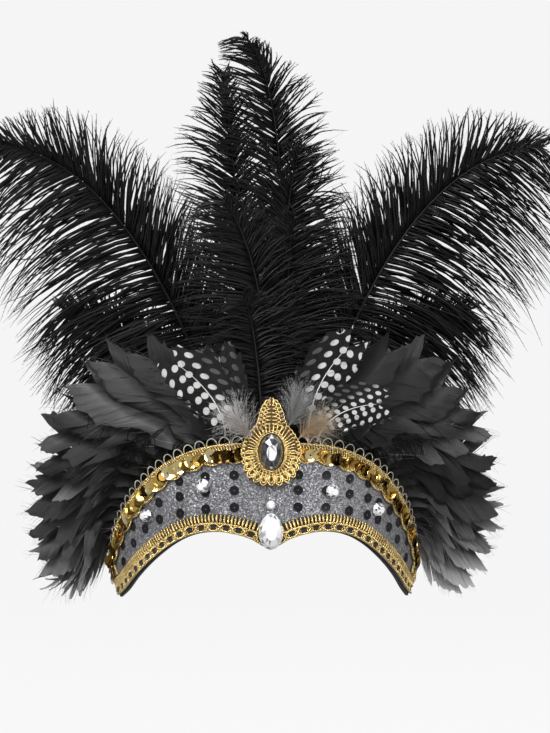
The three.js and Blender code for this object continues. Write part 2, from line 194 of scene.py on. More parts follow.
# node wiring
def newMaterial(name):
    material = bpy.data.materials.new(name)
    material.use_nodes = True
    return material, material.node_tree.nodes, material.node_tree.links, material.node_tree.nodes["Principled BSDF"]


def addNode(tree, kind, **settings):
    node = tree.nodes.new(kind)
    for key, value in settings.items():
        setattr(node, key, value)
    return node


def mathNode(tree, operation, first, second=None, third=None):
    node = addNode(tree, "ShaderNodeMath", operation=operation)
    for socket, value in zip(node.inputs, (first, second, third)):
        if isinstance(value, (int, float)):
            socket.default_value = value
        elif value is not None:
            tree.links.new(value, socket)
    return node.outputs[0]


def rampNode(tree, value, stops):
    node = addNode(tree, "ShaderNodeValToRGB")
    tree.links.new(value, node.inputs[0])
    while len(node.color_ramp.elements) < len(stops):
        node.color_ramp.elements.new(0.5)
    for element, (place, colour) in zip(node.color_ramp.elements, stops):
        element.position = place
        element.color = (*colour, 1)
    return node.outputs[0]


def mixColours(tree, share, first, second):
    node = addNode(tree, "ShaderNodeMix", data_type="RGBA")
    for socket, value in ((node.inputs[0], share), (node.inputs[6], first), (node.inputs[7], second)):
        if isinstance(value, (int, float)):
            socket.default_value = value
        elif isinstance(value, tuple):
            socket.default_value = (*value, 1)
        else:
            tree.links.new(value, socket)
    return node.outputs[2]


# fine strands of thread or fibre as a height, for felt, backing and gold work
def makeFibreGroup():
    group = bpy.data.node_groups.new("fibreGrain", "ShaderNodeTree")
    for name, start in (("Scale", 900.0), ("Stretch", 4.0)):
        group.interface.new_socket(name, in_out="INPUT", socket_type="NodeSocketFloat").default_value = start
    group.interface.new_socket("Place", in_out="INPUT", socket_type="NodeSocketVector")
    group.interface.new_socket("Height", in_out="OUTPUT", socket_type="NodeSocketFloat")
    group.interface.new_socket("Tone", in_out="OUTPUT", socket_type="NodeSocketFloat")
    ends = addNode(group, "NodeGroupInput"), addNode(group, "NodeGroupOutput")
    fine = addNode(group, "ShaderNodeTexNoise")
    fine.inputs["Detail"].default_value = 6
    broad = addNode(group, "ShaderNodeTexNoise")
    broad.inputs["Detail"].default_value = 3
    group.links.new(ends[0].outputs["Place"], fine.inputs["Vector"])
    group.links.new(ends[0].outputs["Place"], broad.inputs["Vector"])
    group.links.new(ends[0].outputs["Scale"], fine.inputs["Scale"])
    group.links.new(ends[0].outputs["Stretch"], fine.inputs["Distortion"])
    group.links.new(mathNode(group, "MULTIPLY", ends[0].outputs["Scale"], 0.12), broad.inputs["Scale"])
    group.links.new(fine.outputs["Fac"], ends[1].inputs["Height"])
    group.links.new(mathNode(group, "MULTIPLY_ADD", broad.outputs["Fac"], 0.6,
                             mathNode(group, "MULTIPLY", fine.outputs["Fac"], 0.4)), ends[1].inputs["Tone"])
    return group


fibreGroup = makeFibreGroup()


def addFibre(tree, scale, stretch):
    node = addNode(tree, "ShaderNodeGroup", node_tree=fibreGroup)
    node.inputs["Scale"].default_value = scale
    node.inputs["Stretch"].default_value = stretch
    place = addNode(tree, "ShaderNodeTexCoord")
    tree.links.new(place.outputs["Object"], node.inputs["Place"])
    return node


def addBump(tree, shader, height, distance, strength):
    bump = addNode(tree, "ShaderNodeBump")
    bump.inputs["Strength"].default_value = strength
    bump.inputs["Distance"].default_value = distance
    tree.links.new(height, bump.inputs["Height"])
    tree.links.new(bump.outputs[0], shader.inputs["Normal"])
    return bump


def feltMaterial():
    material, nodes, links, shader = newMaterial("blackFelt")
    tree = material.node_tree
    fibre = addFibre(tree, 1400, 3)
    links.new(rampNode(tree, fibre.outputs["Tone"], [(0.3, (0.004, 0.004, 0.004)), (0.75, (0.026, 0.026, 0.027))]),
              shader.inputs["Base Color"])
    shader.inputs["Roughness"].default_value = 0.95
    shader.inputs["Sheen Weight"].default_value = 0.25
    addBump(tree, shader, fibre.outputs["Height"], 0.0004, 0.8)
    return material


# glitter grains: each grain has a grey of its own and leans its own way
def glitterMaterial():
    material, nodes, links, shader = newMaterial("silverGlitter")
    tree = material.node_tree
    plan = addNode(tree, "ShaderNodeUVMap", uv_map="clothPlan")
    grain = addNode(tree, "ShaderNodeTexVoronoi", voronoi_dimensions="2D")
    grain.inputs["Scale"].default_value = 160
    links.new(plan.outputs[0], grain.inputs["Vector"])
    gaps = addNode(tree, "ShaderNodeTexVoronoi", voronoi_dimensions="2D", feature="DISTANCE_TO_EDGE")
    gaps.inputs["Scale"].default_value = 160
    links.new(plan.outputs[0], gaps.inputs["Vector"])
    parts = addNode(tree, "ShaderNodeSeparateColor")
    links.new(grain.outputs["Color"], parts.inputs[0])
    tone = rampNode(tree, parts.outputs[0], [(0.0, (0.14, 0.14, 0.15)), (0.4, (0.25, 0.25, 0.265)),
                                             (0.75, (0.38, 0.38, 0.4)), (1.0, (0.62, 0.62, 0.65))])
    edge = rampNode(tree, gaps.outputs["Distance"], [(0.02, (0, 0, 0)), (0.24, (1, 1, 1))])
    links.new(mixColours(tree, edge, (0.05, 0.05, 0.055), tone), shader.inputs["Base Color"])
    lean = addNode(tree, "ShaderNodeVectorMath", operation="SUBTRACT")
    lean.inputs[1].default_value = (0.5, 0.5, 0.5)
    links.new(grain.outputs["Color"], lean.inputs[0])
    softer = addNode(tree, "ShaderNodeVectorMath", operation="SCALE")
    softer.inputs["Scale"].default_value = 0.6
    links.new(lean.outputs[0], softer.inputs[0])
    ground = addNode(tree, "ShaderNodeNewGeometry")
    total = addNode(tree, "ShaderNodeVectorMath", operation="ADD")
    links.new(ground.outputs["Normal"], total.inputs[0])
    links.new(softer.outputs[0], total.inputs[1])
    straight = addNode(tree, "ShaderNodeVectorMath", operation="NORMALIZE")
    links.new(total.outputs[0], straight.inputs[0])
    links.new(straight.outputs[0], shader.inputs["Normal"])
    shader.inputs["Metallic"].default_value = 0.4
    shader.inputs["Roughness"].default_value = 0.4
    return material


# gold wound thread; slanted turns of wire along each strand, with painted shade in the grooves between turns and
# painted highlights on their crests
def goldThreadMaterial(name, dark, light, turns, roughness):
    material, nodes, links, shader = newMaterial(name)
    tree = material.node_tree
    lay = addNode(tree, "ShaderNodeUVMap", uv_map="lay")
    parts = addNode(tree, "ShaderNodeSeparateXYZ")
    links.new(lay.outputs[0], parts.inputs[0])
    phase = mathNode(tree, "MULTIPLY_ADD", parts.outputs[0], turns,
                     mathNode(tree, "MULTIPLY", parts.outputs[1], 2 * math.pi))
    wind = mathNode(tree, "MULTIPLY_ADD", mathNode(tree, "SINE", phase), 0.5, 0.5)
    tone = addNode(tree, "ShaderNodeAttribute", attribute_name="shade")
    fibre = addFibre(tree, 260, 0.6)
    strandTone = mathNode(tree, "MULTIPLY_ADD", fibre.outputs["Tone"], 0.5,
                    mathNode(tree, "MULTIPLY", tone.outputs["Fac"], 0.5))
    # colour from the turns: dark in the grooves is painted shade, bright on the crests is painted highlight; the strand
    # tone adds random variation
    mixed = mathNode(tree, "MULTIPLY_ADD", wind, 0.35, mathNode(tree, "SUBTRACT", strandTone, 0.1))
    links.new(rampNode(tree, mixed, [(0.1, dark), (0.8, light)]), shader.inputs["Base Color"])
    shader.inputs["Metallic"].default_value = 0.85
    shader.inputs["Roughness"].default_value = roughness
    addBump(tree, shader, wind, 0.0003, 0.6)
    return material


def sequinMaterial():
    material, nodes, links, shader = newMaterial("goldFoilSequin")
    tree = material.node_tree
    tone = addNode(tree, "ShaderNodeAttribute", attribute_name="shade")
    # per-sequin tone from near-black brown to cream white: painted reflection and shade, standing in for which sequins
    # catch the light
    links.new(rampNode(tree, tone.outputs["Fac"], [
        (0.0, (0.05, 0.026, 0.006)), (0.35, (0.36, 0.22, 0.045)), (0.65, (0.9, 0.63, 0.17)),
        (1.0, (1.0, 0.88, 0.5))]), shader.inputs["Base Color"])
    shader.inputs["Metallic"].default_value = 1.0
    fibre = addFibre(tree, 500, 1)
    links.new(mathNode(tree, "MULTIPLY_ADD", fibre.outputs["Tone"], 0.25, 0.06), shader.inputs["Roughness"])
    return material


def dotMaterial():
    material, nodes, links, shader = newMaterial("blackSequin")
    tree = material.node_tree
    fibre = addFibre(tree, 420, 0.5)
    links.new(rampNode(tree, fibre.outputs["Tone"], [(0.3, (0.003, 0.003, 0.004)), (0.7, (0.01, 0.01, 0.012))]),
              shader.inputs["Base Color"])
    links.new(mathNode(tree, "MULTIPLY_ADD", fibre.outputs["Tone"], 0.3, 0.15), shader.inputs["Roughness"])
    shader.inputs["Specular IOR Level"].default_value = 0.3
    return material


# foil-backed stone: every facet gets a painted tone from dark to white, painted reflections and sparkle under a clear
# skin
def stoneMaterial(name, stops):
    material, nodes, links, shader = newMaterial(name)
    tree = material.node_tree
    tone = addNode(tree, "ShaderNodeAttribute", attribute_name="facetGlint")
    fibre = addFibre(tree, 160, 0.3)
    mixed = mathNode(tree, "MULTIPLY_ADD", fibre.outputs["Tone"], 0.25,
                     mathNode(tree, "SUBTRACT", tone.outputs["Fac"], 0.12))
    links.new(rampNode(tree, mixed, stops), shader.inputs["Base Color"])
    shader.inputs["Metallic"].default_value = 0.35
    shader.inputs["Roughness"].default_value = 0.08
    shader.inputs["Coat Weight"].default_value = 1.0
    shader.inputs["Coat Roughness"].default_value = 0.02
    return material


# shaped ground under gold thread, dark brown so the gaps between the threads read dark: partly the ground's own colour,
# partly painted shade between the threads
def groundMaterial():
    material, nodes, links, shader = newMaterial("darkGroundAndGapShade")
    tree = material.node_tree
    fibre = addFibre(tree, 900, 2)
    links.new(rampNode(tree, fibre.outputs["Tone"], [(0.3, (0.05, 0.028, 0.008)), (0.7, (0.2, 0.12, 0.035))]),
              shader.inputs["Base Color"])
    shader.inputs["Roughness"].default_value = 0.75
    addBump(tree, shader, fibre.outputs["Height"], 0.0004, 0.7)
    return material


# loose strands: a dark and a light end, by strand, and another colour towards the tip
def featherMaterial(name, dark, light, tip, roughness, tipStart=0.55, specular=0.25):
    material, nodes, links, shader = newMaterial(name)
    tree = material.node_tree
    tone = addNode(tree, "ShaderNodeAttribute", attribute_name="shade")
    reach = addNode(tree, "ShaderNodeAttribute", attribute_name="reach")
    fibre = addFibre(tree, 700, 2)
    streak = mathNode(tree, "MULTIPLY_ADD", fibre.outputs["Tone"], 0.5,
                      mathNode(tree, "SUBTRACT", tone.outputs["Fac"], 0.25))
    body = rampNode(tree, streak, [(0.05, dark), (0.95, light)])
    ends = addNode(tree, "ShaderNodeMapRange")
    ends.inputs["From Min"].default_value = tipStart
    links.new(reach.outputs["Fac"], ends.inputs["Value"])
    links.new(mixColours(tree, ends.outputs[0], body, tip), shader.inputs["Base Color"])
    shader.inputs["Roughness"].default_value = roughness
    shader.inputs["Specular IOR Level"].default_value = specular
    return material


# fine barbs lying side by side along a lock
def makeBarbGroup():
    group = bpy.data.node_groups.new("barbLines", "ShaderNodeTree")
    group.interface.new_socket("Lay", in_out="INPUT", socket_type="NodeSocketVector")
    group.interface.new_socket("Lines", in_out="INPUT", socket_type="NodeSocketFloat").default_value = 14.0
    group.interface.new_socket("Line", in_out="OUTPUT", socket_type="NodeSocketFloat")
    ends = addNode(group, "NodeGroupInput"), addNode(group, "NodeGroupOutput")
    parts = addNode(group, "ShaderNodeSeparateXYZ")
    group.links.new(ends[0].outputs["Lay"], parts.inputs[0])
    wander = addNode(group, "ShaderNodeTexNoise")
    wander.inputs["Scale"].default_value = 2.5
    group.links.new(ends[0].outputs["Lay"], wander.inputs["Vector"])
    turns = mathNode(group, "MULTIPLY", mathNode(group, "MULTIPLY", parts.outputs[1], ends[0].outputs["Lines"]),
                     2 * math.pi)
    phase = mathNode(group, "MULTIPLY_ADD", wander.outputs["Fac"], 9.0, turns)
    group.links.new(mathNode(group, "MULTIPLY_ADD", mathNode(group, "SINE", phase), 0.5, 0.5), ends[1].inputs["Line"])
    return group


barbGroup = makeBarbGroup()


def addBarbLines(tree, lines):
    node = addNode(tree, "ShaderNodeGroup", node_tree=barbGroup)
    node.inputs["Lines"].default_value = lines
    lay = addNode(tree, "ShaderNodeUVMap", uv_map="lay")
    tree.links.new(lay.outputs[0], node.inputs["Lay"])
    return node.outputs["Line"]


# grey to black vane, the tone read from the feather's shade attribute, which carries painted shade at the foot and
# light tips that are partly painted light coming through the thin barb ends
def vaneMaterial():
    material, nodes, links, shader = newMaterial("cockGrey")
    tree = material.node_tree
    tone = addNode(tree, "ShaderNodeAttribute", attribute_name="shade")
    line = addBarbLines(tree, 64)
    fibre = addFibre(tree, 90, 1.5)
    softer = mathNode(tree, "MULTIPLY_ADD", line, 0.1, mathNode(tree, "SUBTRACT", tone.outputs["Fac"], 0.13))
    mixed = mathNode(tree, "MULTIPLY_ADD", fibre.outputs["Tone"], 0.24, softer)
    links.new(rampNode(tree, mixed, [(0.0, (0.0025, 0.0025, 0.0026)), (0.25, (0.01, 0.01, 0.0103)),
                                     (0.5, (0.048, 0.048, 0.05)), (0.75, (0.19, 0.19, 0.195)),
                                     (1.0, (0.46, 0.46, 0.465))]), shader.inputs["Base Color"])
    links.new(mathNode(tree, "MULTIPLY_ADD", line, 0.15, 0.36), shader.inputs["Roughness"])
    shader.inputs["Specular IOR Level"].default_value = 0.35
    addBump(tree, shader, line, 0.00025, 0.5)
    return material


# rows of round white spots on either side of the shaft, bowed with the feather's end and dim at the rim
def guineaMaterial(name, pitch, size, white, rim):
    material, nodes, links, shader = newMaterial(name)
    tree = material.node_tree
    plan = addNode(tree, "ShaderNodeUVMap", uv_map="vane")
    parts = addNode(tree, "ShaderNodeSeparateXYZ")
    links.new(plan.outputs[0], parts.inputs[0])
    beside = mathNode(tree, "ABSOLUTE", parts.outputs[1])
    bowed = mathNode(tree, "MULTIPLY_ADD", mathNode(tree, "MULTIPLY", beside, beside), 0.35, parts.outputs[0])
    lane = mathNode(tree, "DIVIDE", mathNode(tree, "SUBTRACT", beside, pitch * 0.3), pitch * 0.86)
    laneNumber = mathNode(tree, "ROUND", lane)
    shifted = mathNode(tree, "MULTIPLY_ADD", laneNumber, 0.5, mathNode(tree, "DIVIDE", bowed, pitch))
    offAlong = mathNode(tree, "MULTIPLY", mathNode(tree, "SUBTRACT", shifted, mathNode(tree, "ROUND", shifted)), pitch)
    offAcross = mathNode(tree, "MULTIPLY", mathNode(tree, "SUBTRACT", lane, laneNumber), pitch * 0.86)
    away = mathNode(tree, "SQRT", mathNode(tree, "ADD", mathNode(tree, "MULTIPLY", offAlong, offAlong),
                                           mathNode(tree, "MULTIPLY", offAcross, offAcross)))
    inside = rampNode(tree, mathNode(tree, "DIVIDE", away, size), [(0.86, (1, 1, 1)), (1.0, (0, 0, 0))])
    line = addBarbLines(tree, 70)
    tone = addNode(tree, "ShaderNodeAttribute", attribute_name="shade")
    darker = mathNode(tree, "SUBTRACT", tone.outputs["Fac"], 0.05)
    ground = rampNode(tree, mathNode(tree, "MULTIPLY_ADD", line, 0.1, darker),
                      [(0.0, (0.003, 0.003, 0.003)), (0.35, (0.016, 0.016, 0.016)), (0.85, (0.3, 0.29, 0.27)),
                       (0.95, (0.66, 0.64, 0.6))])
    spot = rampNode(tree, line, [(0.0, (0.7 * white,) * 3), (1.0, (white,) * 3)])
    fade = rampNode(tree, mathNode(tree, "DIVIDE", beside, rim), [(0.62, (1, 1, 1)), (0.95, (0.12, 0.12, 0.12))])
    shown = mathNode(tree, "MULTIPLY", inside, fade)
    links.new(mixColours(tree, shown, ground, spot), shader.inputs["Base Color"])
    shader.inputs["Roughness"].default_value = 0.6
    shader.inputs["Specular IOR Level"].default_value = 0.12
    addBump(tree, shader, line, 0.0002, 0.5)
    return material


black = feltMaterial()
glitter = glitterMaterial()
# thread colours: the dark end is a painted shadow colour and the light end a painted highlight colour
goldThread = goldThreadMaterial("goldThread", (0.07, 0.038, 0.008), (1.0, 0.77, 0.34), 125, 0.27)
paleThread = goldThreadMaterial("paleThread", (0.26, 0.22, 0.14), (0.8, 0.76, 0.64), 160, 0.34)
darkGroundAndGapShade = groundMaterial()
foil = sequinMaterial()
blackSequin = dotMaterial()
# stone ramps: the dark stops are painted dark reflections, the white stops painted sparkle
clearStone = stoneMaterial("clearStone", [(0.0, (0.04, 0.04, 0.05)), (0.35, (0.3, 0.31, 0.34)), (0.62, (1, 1, 1))])
smokeStone = stoneMaterial("smokeStone", [(0.0, (0.008, 0.008, 0.01)), (0.5, (0.07, 0.07, 0.08)),
                                          (0.8, (0.4, 0.41, 0.44)), (1.0, (1, 1, 1))])
ostrichBlack = featherMaterial("ostrichBlack", (0.0018, 0.0018, 0.0019), (0.011, 0.011, 0.0115),
                               (0.006, 0.006, 0.0063), 0.45, specular=0.16)
cockGrey = vaneMaterial()
largeSpots = guineaMaterial("guineaLargeSpots", 0.7, 0.2, 0.52, 1.3)
dimSpots = guineaMaterial("guineaDimSpots", 0.66, 0.18, 0.08, 1.1)
smallSpots = guineaMaterial("guineaSmallSpots", 0.48, 0.14, 0.52, 1.15)
print("materials made")


# stage: a pale paper floor that rises all round into a backdrop
stageSize = {"across": 16.0, "floor": -0.26, "flat": 3.6, "rise": 2.6}
clearSelection()
bpy.ops.mesh.primitive_grid_add(x_subdivisions=80, y_subdivisions=80, size=stageSize["across"])
floor = bpy.context.object
floor.name = "floor"
for vertex in floor.data.vertices:
    out = max(0.0, math.hypot(vertex.co.x, vertex.co.y) - stageSize["flat"]) / (8 - stageSize["flat"])
    vertex.co.z = stageSize["floor"] + stageSize["rise"] * min(out, 1.4) ** 2
floor.data.shade_smooth()
paper, paperNodes, paperLinks, paperShader = newMaterial("palePaper")
paperTone = addFibre(paper.node_tree, 6, 0.2)
paperLinks.new(rampNode(paper.node_tree, paperTone.outputs["Tone"],
                        [(0.0, (0.018, 0.018, 0.018)), (1.0, (0.022, 0.022, 0.022))]), paperShader.inputs["Base Color"])
paperShader.inputs["Roughness"].default_value = 0.9
paperShader.inputs["Specular IOR Level"].default_value = 0.0
paperShader.inputs["Emission Color"].default_value = (1, 1, 1, 1)
seen = addNode(paper.node_tree, "ShaderNodeLightPath")
paperLinks.new(mathNode(paper.node_tree, "MULTIPLY_ADD", seen.outputs["Is Camera Ray"], 0.565, 0.34),
               paperShader.inputs["Emission Strength"])
floor.data.materials.append(paper)
floor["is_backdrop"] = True

world = bpy.data.worlds.new("studio")
bpy.context.scene.world = world
world.use_nodes = True
skyPlace = addNode(world.node_tree, "ShaderNodeTexCoord")
skyParts = addNode(world.node_tree, "ShaderNodeSeparateXYZ")
world.node_tree.links.new(skyPlace.outputs["Generated"], skyParts.inputs[0])
world.node_tree.links.new(
    rampNode(world.node_tree, mathNode(world.node_tree, "MULTIPLY_ADD", skyParts.outputs[2], 0.5, 0.5),
             [(0.45, (0.4, 0.4, 0.4)), (0.7, (0.22, 0.22, 0.22)), (1.0, (0.5, 0.5, 0.5))]),
    world.node_tree.nodes["Background"].inputs["Color"])

lamps = [  # name, place, size, watts
    ("keyLamp", (-1.0, -1.7, 1.4), 1.0, 62),
    ("fillLamp", (1.4, -1.5, 0.6), 1.1, 26),
    ("topLamp", (0.1, -0.3, 1.9), 1.2, 30),
    ("rimLamp", (0.3, 1.5, 1.2), 1.0, 26),
]
for lampName, place, size, watts in lamps:
    bpy.ops.object.light_add(type="AREA", location=place)
    lamp = bpy.context.object
    lamp.name = lampName
    lamp.data.size = size
    lamp.data.energy = watts
    lamp.rotation_euler = (Vector((0, -0.05, 0.1)) - lamp.location).to_track_quat("-Z", "Y").to_euler()
print("stage and lamps set")


# brow crescent: the same ribs as the frame, laid flat as arc and height
crescent = {"radius": 86, "flare": 0.06, "felt": 2.0, "cloth": 0.8, "columns": 180, "rows": 16}
ribs = np.array([  # low angle, low height, high angle, high height
    (0, 0, 0, 56.5), (3, 1.2, 3.5, 56.5), (7, 4.6, 8, 56.3), (13, 7.3, 15, 55.8), (20, 8.4, 23, 54),
    (28, 6.6, 31, 50), (36, 1.6, 40, 43.5), (46, -7.5, 50, 33), (56, -17.5, 60, 20.5), (64.5, -26, 71, 5),
    (73, -31, 81, -11)], float)


def wholeEdge(angleColumn, heightColumn):
    half = np.stack([np.radians(ribs[:, angleColumn]) * crescent["radius"], ribs[:, heightColumn]], 1)
    return np.concatenate([half[:0:-1] * (-1, 1), half])


def splinePoint(points, along):
    place = (len(points) - 1) * np.asarray(along, float)
    i = np.clip(np.floor(place).astype(int), 0, len(points) - 2)
    t = (place - i)[..., None]
    p0, p1, p2, p3 = (points[np.clip(i + k, 0, len(points) - 1)] for k in (-1, 0, 1, 2))
    v0, v1 = (p2 - p0) / 2, (p3 - p1) / 2
    return (2 * p1 - 2 * p2 + v0 + v1) * t ** 3 + (3 * p2 - 3 * p1 - 2 * v0 - v1) * t ** 2 + v0 * t + p1


lowEdge, highEdge = wholeEdge(0, 1), wholeEdge(2, 3)


def wallPoint(arc, height, offset):
    arc, height, offset = np.broadcast_arrays(np.asarray(arc, float), height, offset)
    angle = arc / crescent["radius"]
    radius = crescent["radius"] + crescent["flare"] * height + offset
    return np.stack([radius * np.sin(angle), -radius * np.cos(angle), height], -1) * mm


def crescentSheet(name, inner, thickness, edgeMargin, endMargin, bevel):
    clearSelection()
    bpy.ops.mesh.primitive_grid_add(x_subdivisions=crescent["columns"], y_subdivisions=crescent["rows"], size=1)
    sheet = bpy.context.object
    sheet.name = sheet.data.name = name
    flat = np.array([v.co[:2] for v in sheet.data.vertices]) + 0.5
    endShare = endMargin / np.linalg.norm(np.diff(splinePoint(lowEdge, np.linspace(0, 1, 400)), axis=0), axis=1).sum()
    along = endShare + (1 - 2 * endShare) * flat[:, 0]
    low, high = splinePoint(lowEdge, along), splinePoint(highEdge, along)
    margin = (edgeMargin / np.linalg.norm(high - low, axis=1))[:, None]
    plan = low + (high - low) * (margin + (1 - 2 * margin) * flat[:, 1:])
    sheet.data.vertices.foreach_set("co", wallPoint(plan[:, 0], plan[:, 1], inner).astype(np.float32).ravel())
    corners = np.array([loop.vertex_index for loop in sheet.data.loops])
    sheet.data.uv_layers[0].name = "clothPlan"
    sheet.data.uv_layers[0].data.foreach_set("uv", (plan[corners] * 0.01).astype(np.float32).ravel())
    area = sum(face.area for face in sheet.data.polygons)
    wall = sheet.modifiers.new("wall", "SOLIDIFY")
    wall.thickness = thickness * mm
    wall.offset = 1
    edge = sheet.modifiers.new("edge", "BEVEL")
    edge.width = bevel * mm
    edge.segments = 2
    edge.limit_method = "ANGLE"
    edge.angle_limit = math.radians(60)
    applyModifiers(sheet)
    sheet.data.shade_smooth()
    return sheet, area


feltBase, _ = crescentSheet("feltBase", -crescent["felt"], crescent["felt"], 0, 0, 0.5)
finishPiece(feltBase, black, "felt", "felt_base")
glitterCloth, clothArea = crescentSheet("glitterCloth", 0.35, crescent["cloth"], 0.8, 3, 0.25)
finishPiece(glitterCloth, glitter, "glitter_cloth", "glitter_cloth")


# everything sewn or glued on the crescent stands in a frame of its own: right, up, out
def wallFrame(angle, height, offset, spin=0.0, nod=(0.0, 0.0)):
    a = math.radians(angle)
    right = Vector((math.cos(a), math.sin(a), 0))
    up = Vector((crescent["flare"] * math.sin(a), -crescent["flare"] * math.cos(a), 1)).normalized()
    place = wallPoint(a * crescent["radius"], height, offset)
    basis = Matrix((right, up, right.cross(up))).transposed().to_4x4()
    lean = Matrix.Rotation(nod[0], 4, "X") @ Matrix.Rotation(nod[1], 4, "Y") @ Matrix.Rotation(spin, 4, "Z")
    return Matrix.Translation(Vector(place)) @ basis @ lean


def copyPieces(source, name, frames, shades):
    copies = []
    for k, (place, shade) in enumerate(zip(frames, shades)):
        copy = source.copy()
        copy.data = source.data.copy()
        bpy.context.collection.objects.link(copy)
        copy.data.transform(place)
        layer = copy.data.attributes.get("shade") or copy.data.attributes.new("shade", "FLOAT", "POINT")
        layer.data.foreach_set("value", np.full(len(copy.data.vertices), shade, np.float32))
        copies.append(copy)
    clearSelection()
    for copy in copies:
        copy.select_set(True)
    bpy.context.view_layer.objects.active = copies[0]
    bpy.ops.object.join()
    joined = bpy.context.object
    joined.name = joined.data.name = name
    bpy.data.objects.remove(source)
    return joined


# sequin: a thin disc with a hole, dished a little
def sequinDisc(name, radius, hole, thickness, dish, sides):
    clearSelection()
    bpy.ops.mesh.primitive_circle_add(vertices=sides, radius=radius * mm, fill_type="NOTHING")
    disc = bpy.context.object
    disc.name = name
    bpy.ops.object.mode_set(mode="EDIT")
    bpy.ops.mesh.select_all(action="SELECT")
    for share, drop in ((0.72, dish * 0.8), (hole / radius, dish)):
        bpy.ops.mesh.extrude_edges_move()
        size = share if share == 0.72 else share / 0.72
        bpy.ops.transform.resize(value=(size, size, 1))
        fall = drop if share == 0.72 else drop - dish * 0.8
        bpy.ops.transform.translate(value=(0, 0, -fall * mm))
    bpy.ops.mesh.select_all(action="SELECT")
    bpy.ops.mesh.normals_make_consistent(inside=False)
    bpy.ops.object.mode_set(mode="OBJECT")
    if sum(face.normal.z for face in disc.data.polygons) < 0:
        disc.data.flip_normals()
    wall = disc.modifiers.new("wall", "SOLIDIFY")
    wall.thickness = thickness * mm
    wall.offset = 0
    applyModifiers(disc)
    return disc


# black dots on the cloth, in rows that sink towards the ends
dots = {"radius": 2.65, "hole": 0.35, "offset": 1.42, "rows": (39.6, 31.4, 22.3, 13.6, 5.0)}
dotColumns = (-64.8, -56.6, -49.4, -42, -32.9, -22.9, -12.6, 9.5, 19.7, 29, 37.2, 42.6, 49.1, 55.2, 63.5)
dotSink = ((0, 20, 30, 40, 49, 56, 65), (0, 1, 3.4, 6.6, 13, 21, 33))


def edgeHeight(edgeAngles, edgeHeights, angle):
    return float(np.interp(abs(angle), edgeAngles, edgeHeights))


dotPlaces = []
for column in dotColumns:
    sink = float(np.interp(abs(column), *dotSink))
    for row in dots["rows"]:
        height = row - sink
        top = edgeHeight(ribs[:, 2], ribs[:, 3], column) - 10.5 - 0.06 * abs(column)
        bottom = edgeHeight(ribs[:, 0], ribs[:, 1], column) + 11.5
        if bottom < height < top + 1.5:
            dotPlaces.append((column, height))
dice = np.random.default_rng(11)
dotFrames = [wallFrame(a, z, dots["offset"], 0, tuple(dice.normal(0, 0.02, 2))) for a, z in dotPlaces]
sequinDots = copyPieces(sequinDisc("dot", dots["radius"], dots["hole"], 0.18, 0.1, 18), "sequinDots",
                        dotFrames, np.full(len(dotFrames), 0.5))
finishPiece(sequinDots, blackSequin, "glitter_cloth")
print("dots", len(dotPlaces))


def roundTheEnds(line, stop):  # carry a line on down the crescent's ends, with the corner rounded
    whole = np.concatenate([[stop * (-1, 1)], line, [stop]])
    step = np.linalg.norm(np.diff(whole, axis=0), axis=1)
    run = np.concatenate([[0], np.cumsum(step)])
    even = np.arange(0, run[-1], 0.1)
    soft = np.stack([np.interp(even, run, whole[:, k]) for k in range(2)], 1)
    padded = np.concatenate([2 * soft[:1] - soft[45:0:-1], soft, 2 * soft[-1:] - soft[-2:-47:-1]])
    return np.stack([np.convolve(padded[:, k], np.full(91, 1 / 91), "valid") for k in range(2)], 1)


# places along an edge's trim: run along the edge, across it, and out from the felt
class Trim:
    def __init__(self, edge, side, end, turn=None):
        self.flat = splinePoint(edge, np.linspace(1 - end, end, 3000))
        if turn is not None:
            self.flat = roundTheEnds(self.flat, turn)
        step = np.linalg.norm(np.diff(self.flat, axis=0), axis=1)
        self.run = np.concatenate([[0], np.cumsum(step)])
        self.tangent = unit(np.gradient(self.flat, axis=0))
        self.side = side
        self.length = self.run[-1]

    def plan(self, run, across):
        x, y, tx, ty = (np.interp(run, self.run, column) for column in
                        (self.flat[:, 0], self.flat[:, 1], self.tangent[:, 0], self.tangent[:, 1]))
        return x - ty * across * self.side, y + tx * across * self.side

    def point(self, run, across, offset):
        run, across, offset = np.broadcast_arrays(np.asarray(run, float), across, offset)
        arc, height = self.plan(run, across)
        return wallPoint(arc, height, offset)

    def frame(self, run, across, offset, nod):
        arc, height = self.plan(run, across)
        slope = math.atan2(np.interp(run, self.run, self.tangent[:, 1]), np.interp(run, self.run, self.tangent[:, 0]))
        return wallFrame(math.degrees(arc / crescent["radius"]), height, offset) @ Matrix.Rotation(slope, 4, "Z") \
            @ Matrix.Rotation(nod[0], 4, "Y") @ Matrix.Rotation(nod[1], 4, "X")


def bars(trim, runs, fromAcross, toAcross, offset, radius, slant=0.0, sides=5, crown=0.0, shade=0.5):
    share = np.linspace(0, 1, 5)
    across = fromAcross + (toAcross - fromAcross) * share[:, None].T if np.ndim(toAcross) == 0 else \
        np.reshape(fromAcross, (-1, 1)) + (np.reshape(toAcross, (-1, 1)) - np.reshape(fromAcross, (-1, 1))) * share
    paths = trim.point(runs[:, None] + slant * (share - 0.5), across, offset + crown * np.sin(np.pi * share))
    thick = radius * mm * (0.55 + 0.45 * np.sin(np.pi * share) ** 0.5)
    return tubes(paths, thick, sides, shade=shade)


def cord(trim, across, offset, radius, pitch, twist, start=0.0, stop=None, strands=2, wave=None):
    stop = trim.length if stop is None else stop
    run = np.arange(start, stop, pitch / 5)
    bundles = []
    for k in range(strands):
        phase = 2 * np.pi * (run / pitch + k / strands)
        drift = 0 if wave is None else wave(run)
        path = trim.point(run, across + drift + twist * np.cos(phase), offset + twist * np.sin(phase))
        bundles.append(tubes(path[None], radius * mm, 5, shade=np.array([0.45 + 0.2 * k])))
    return bundles


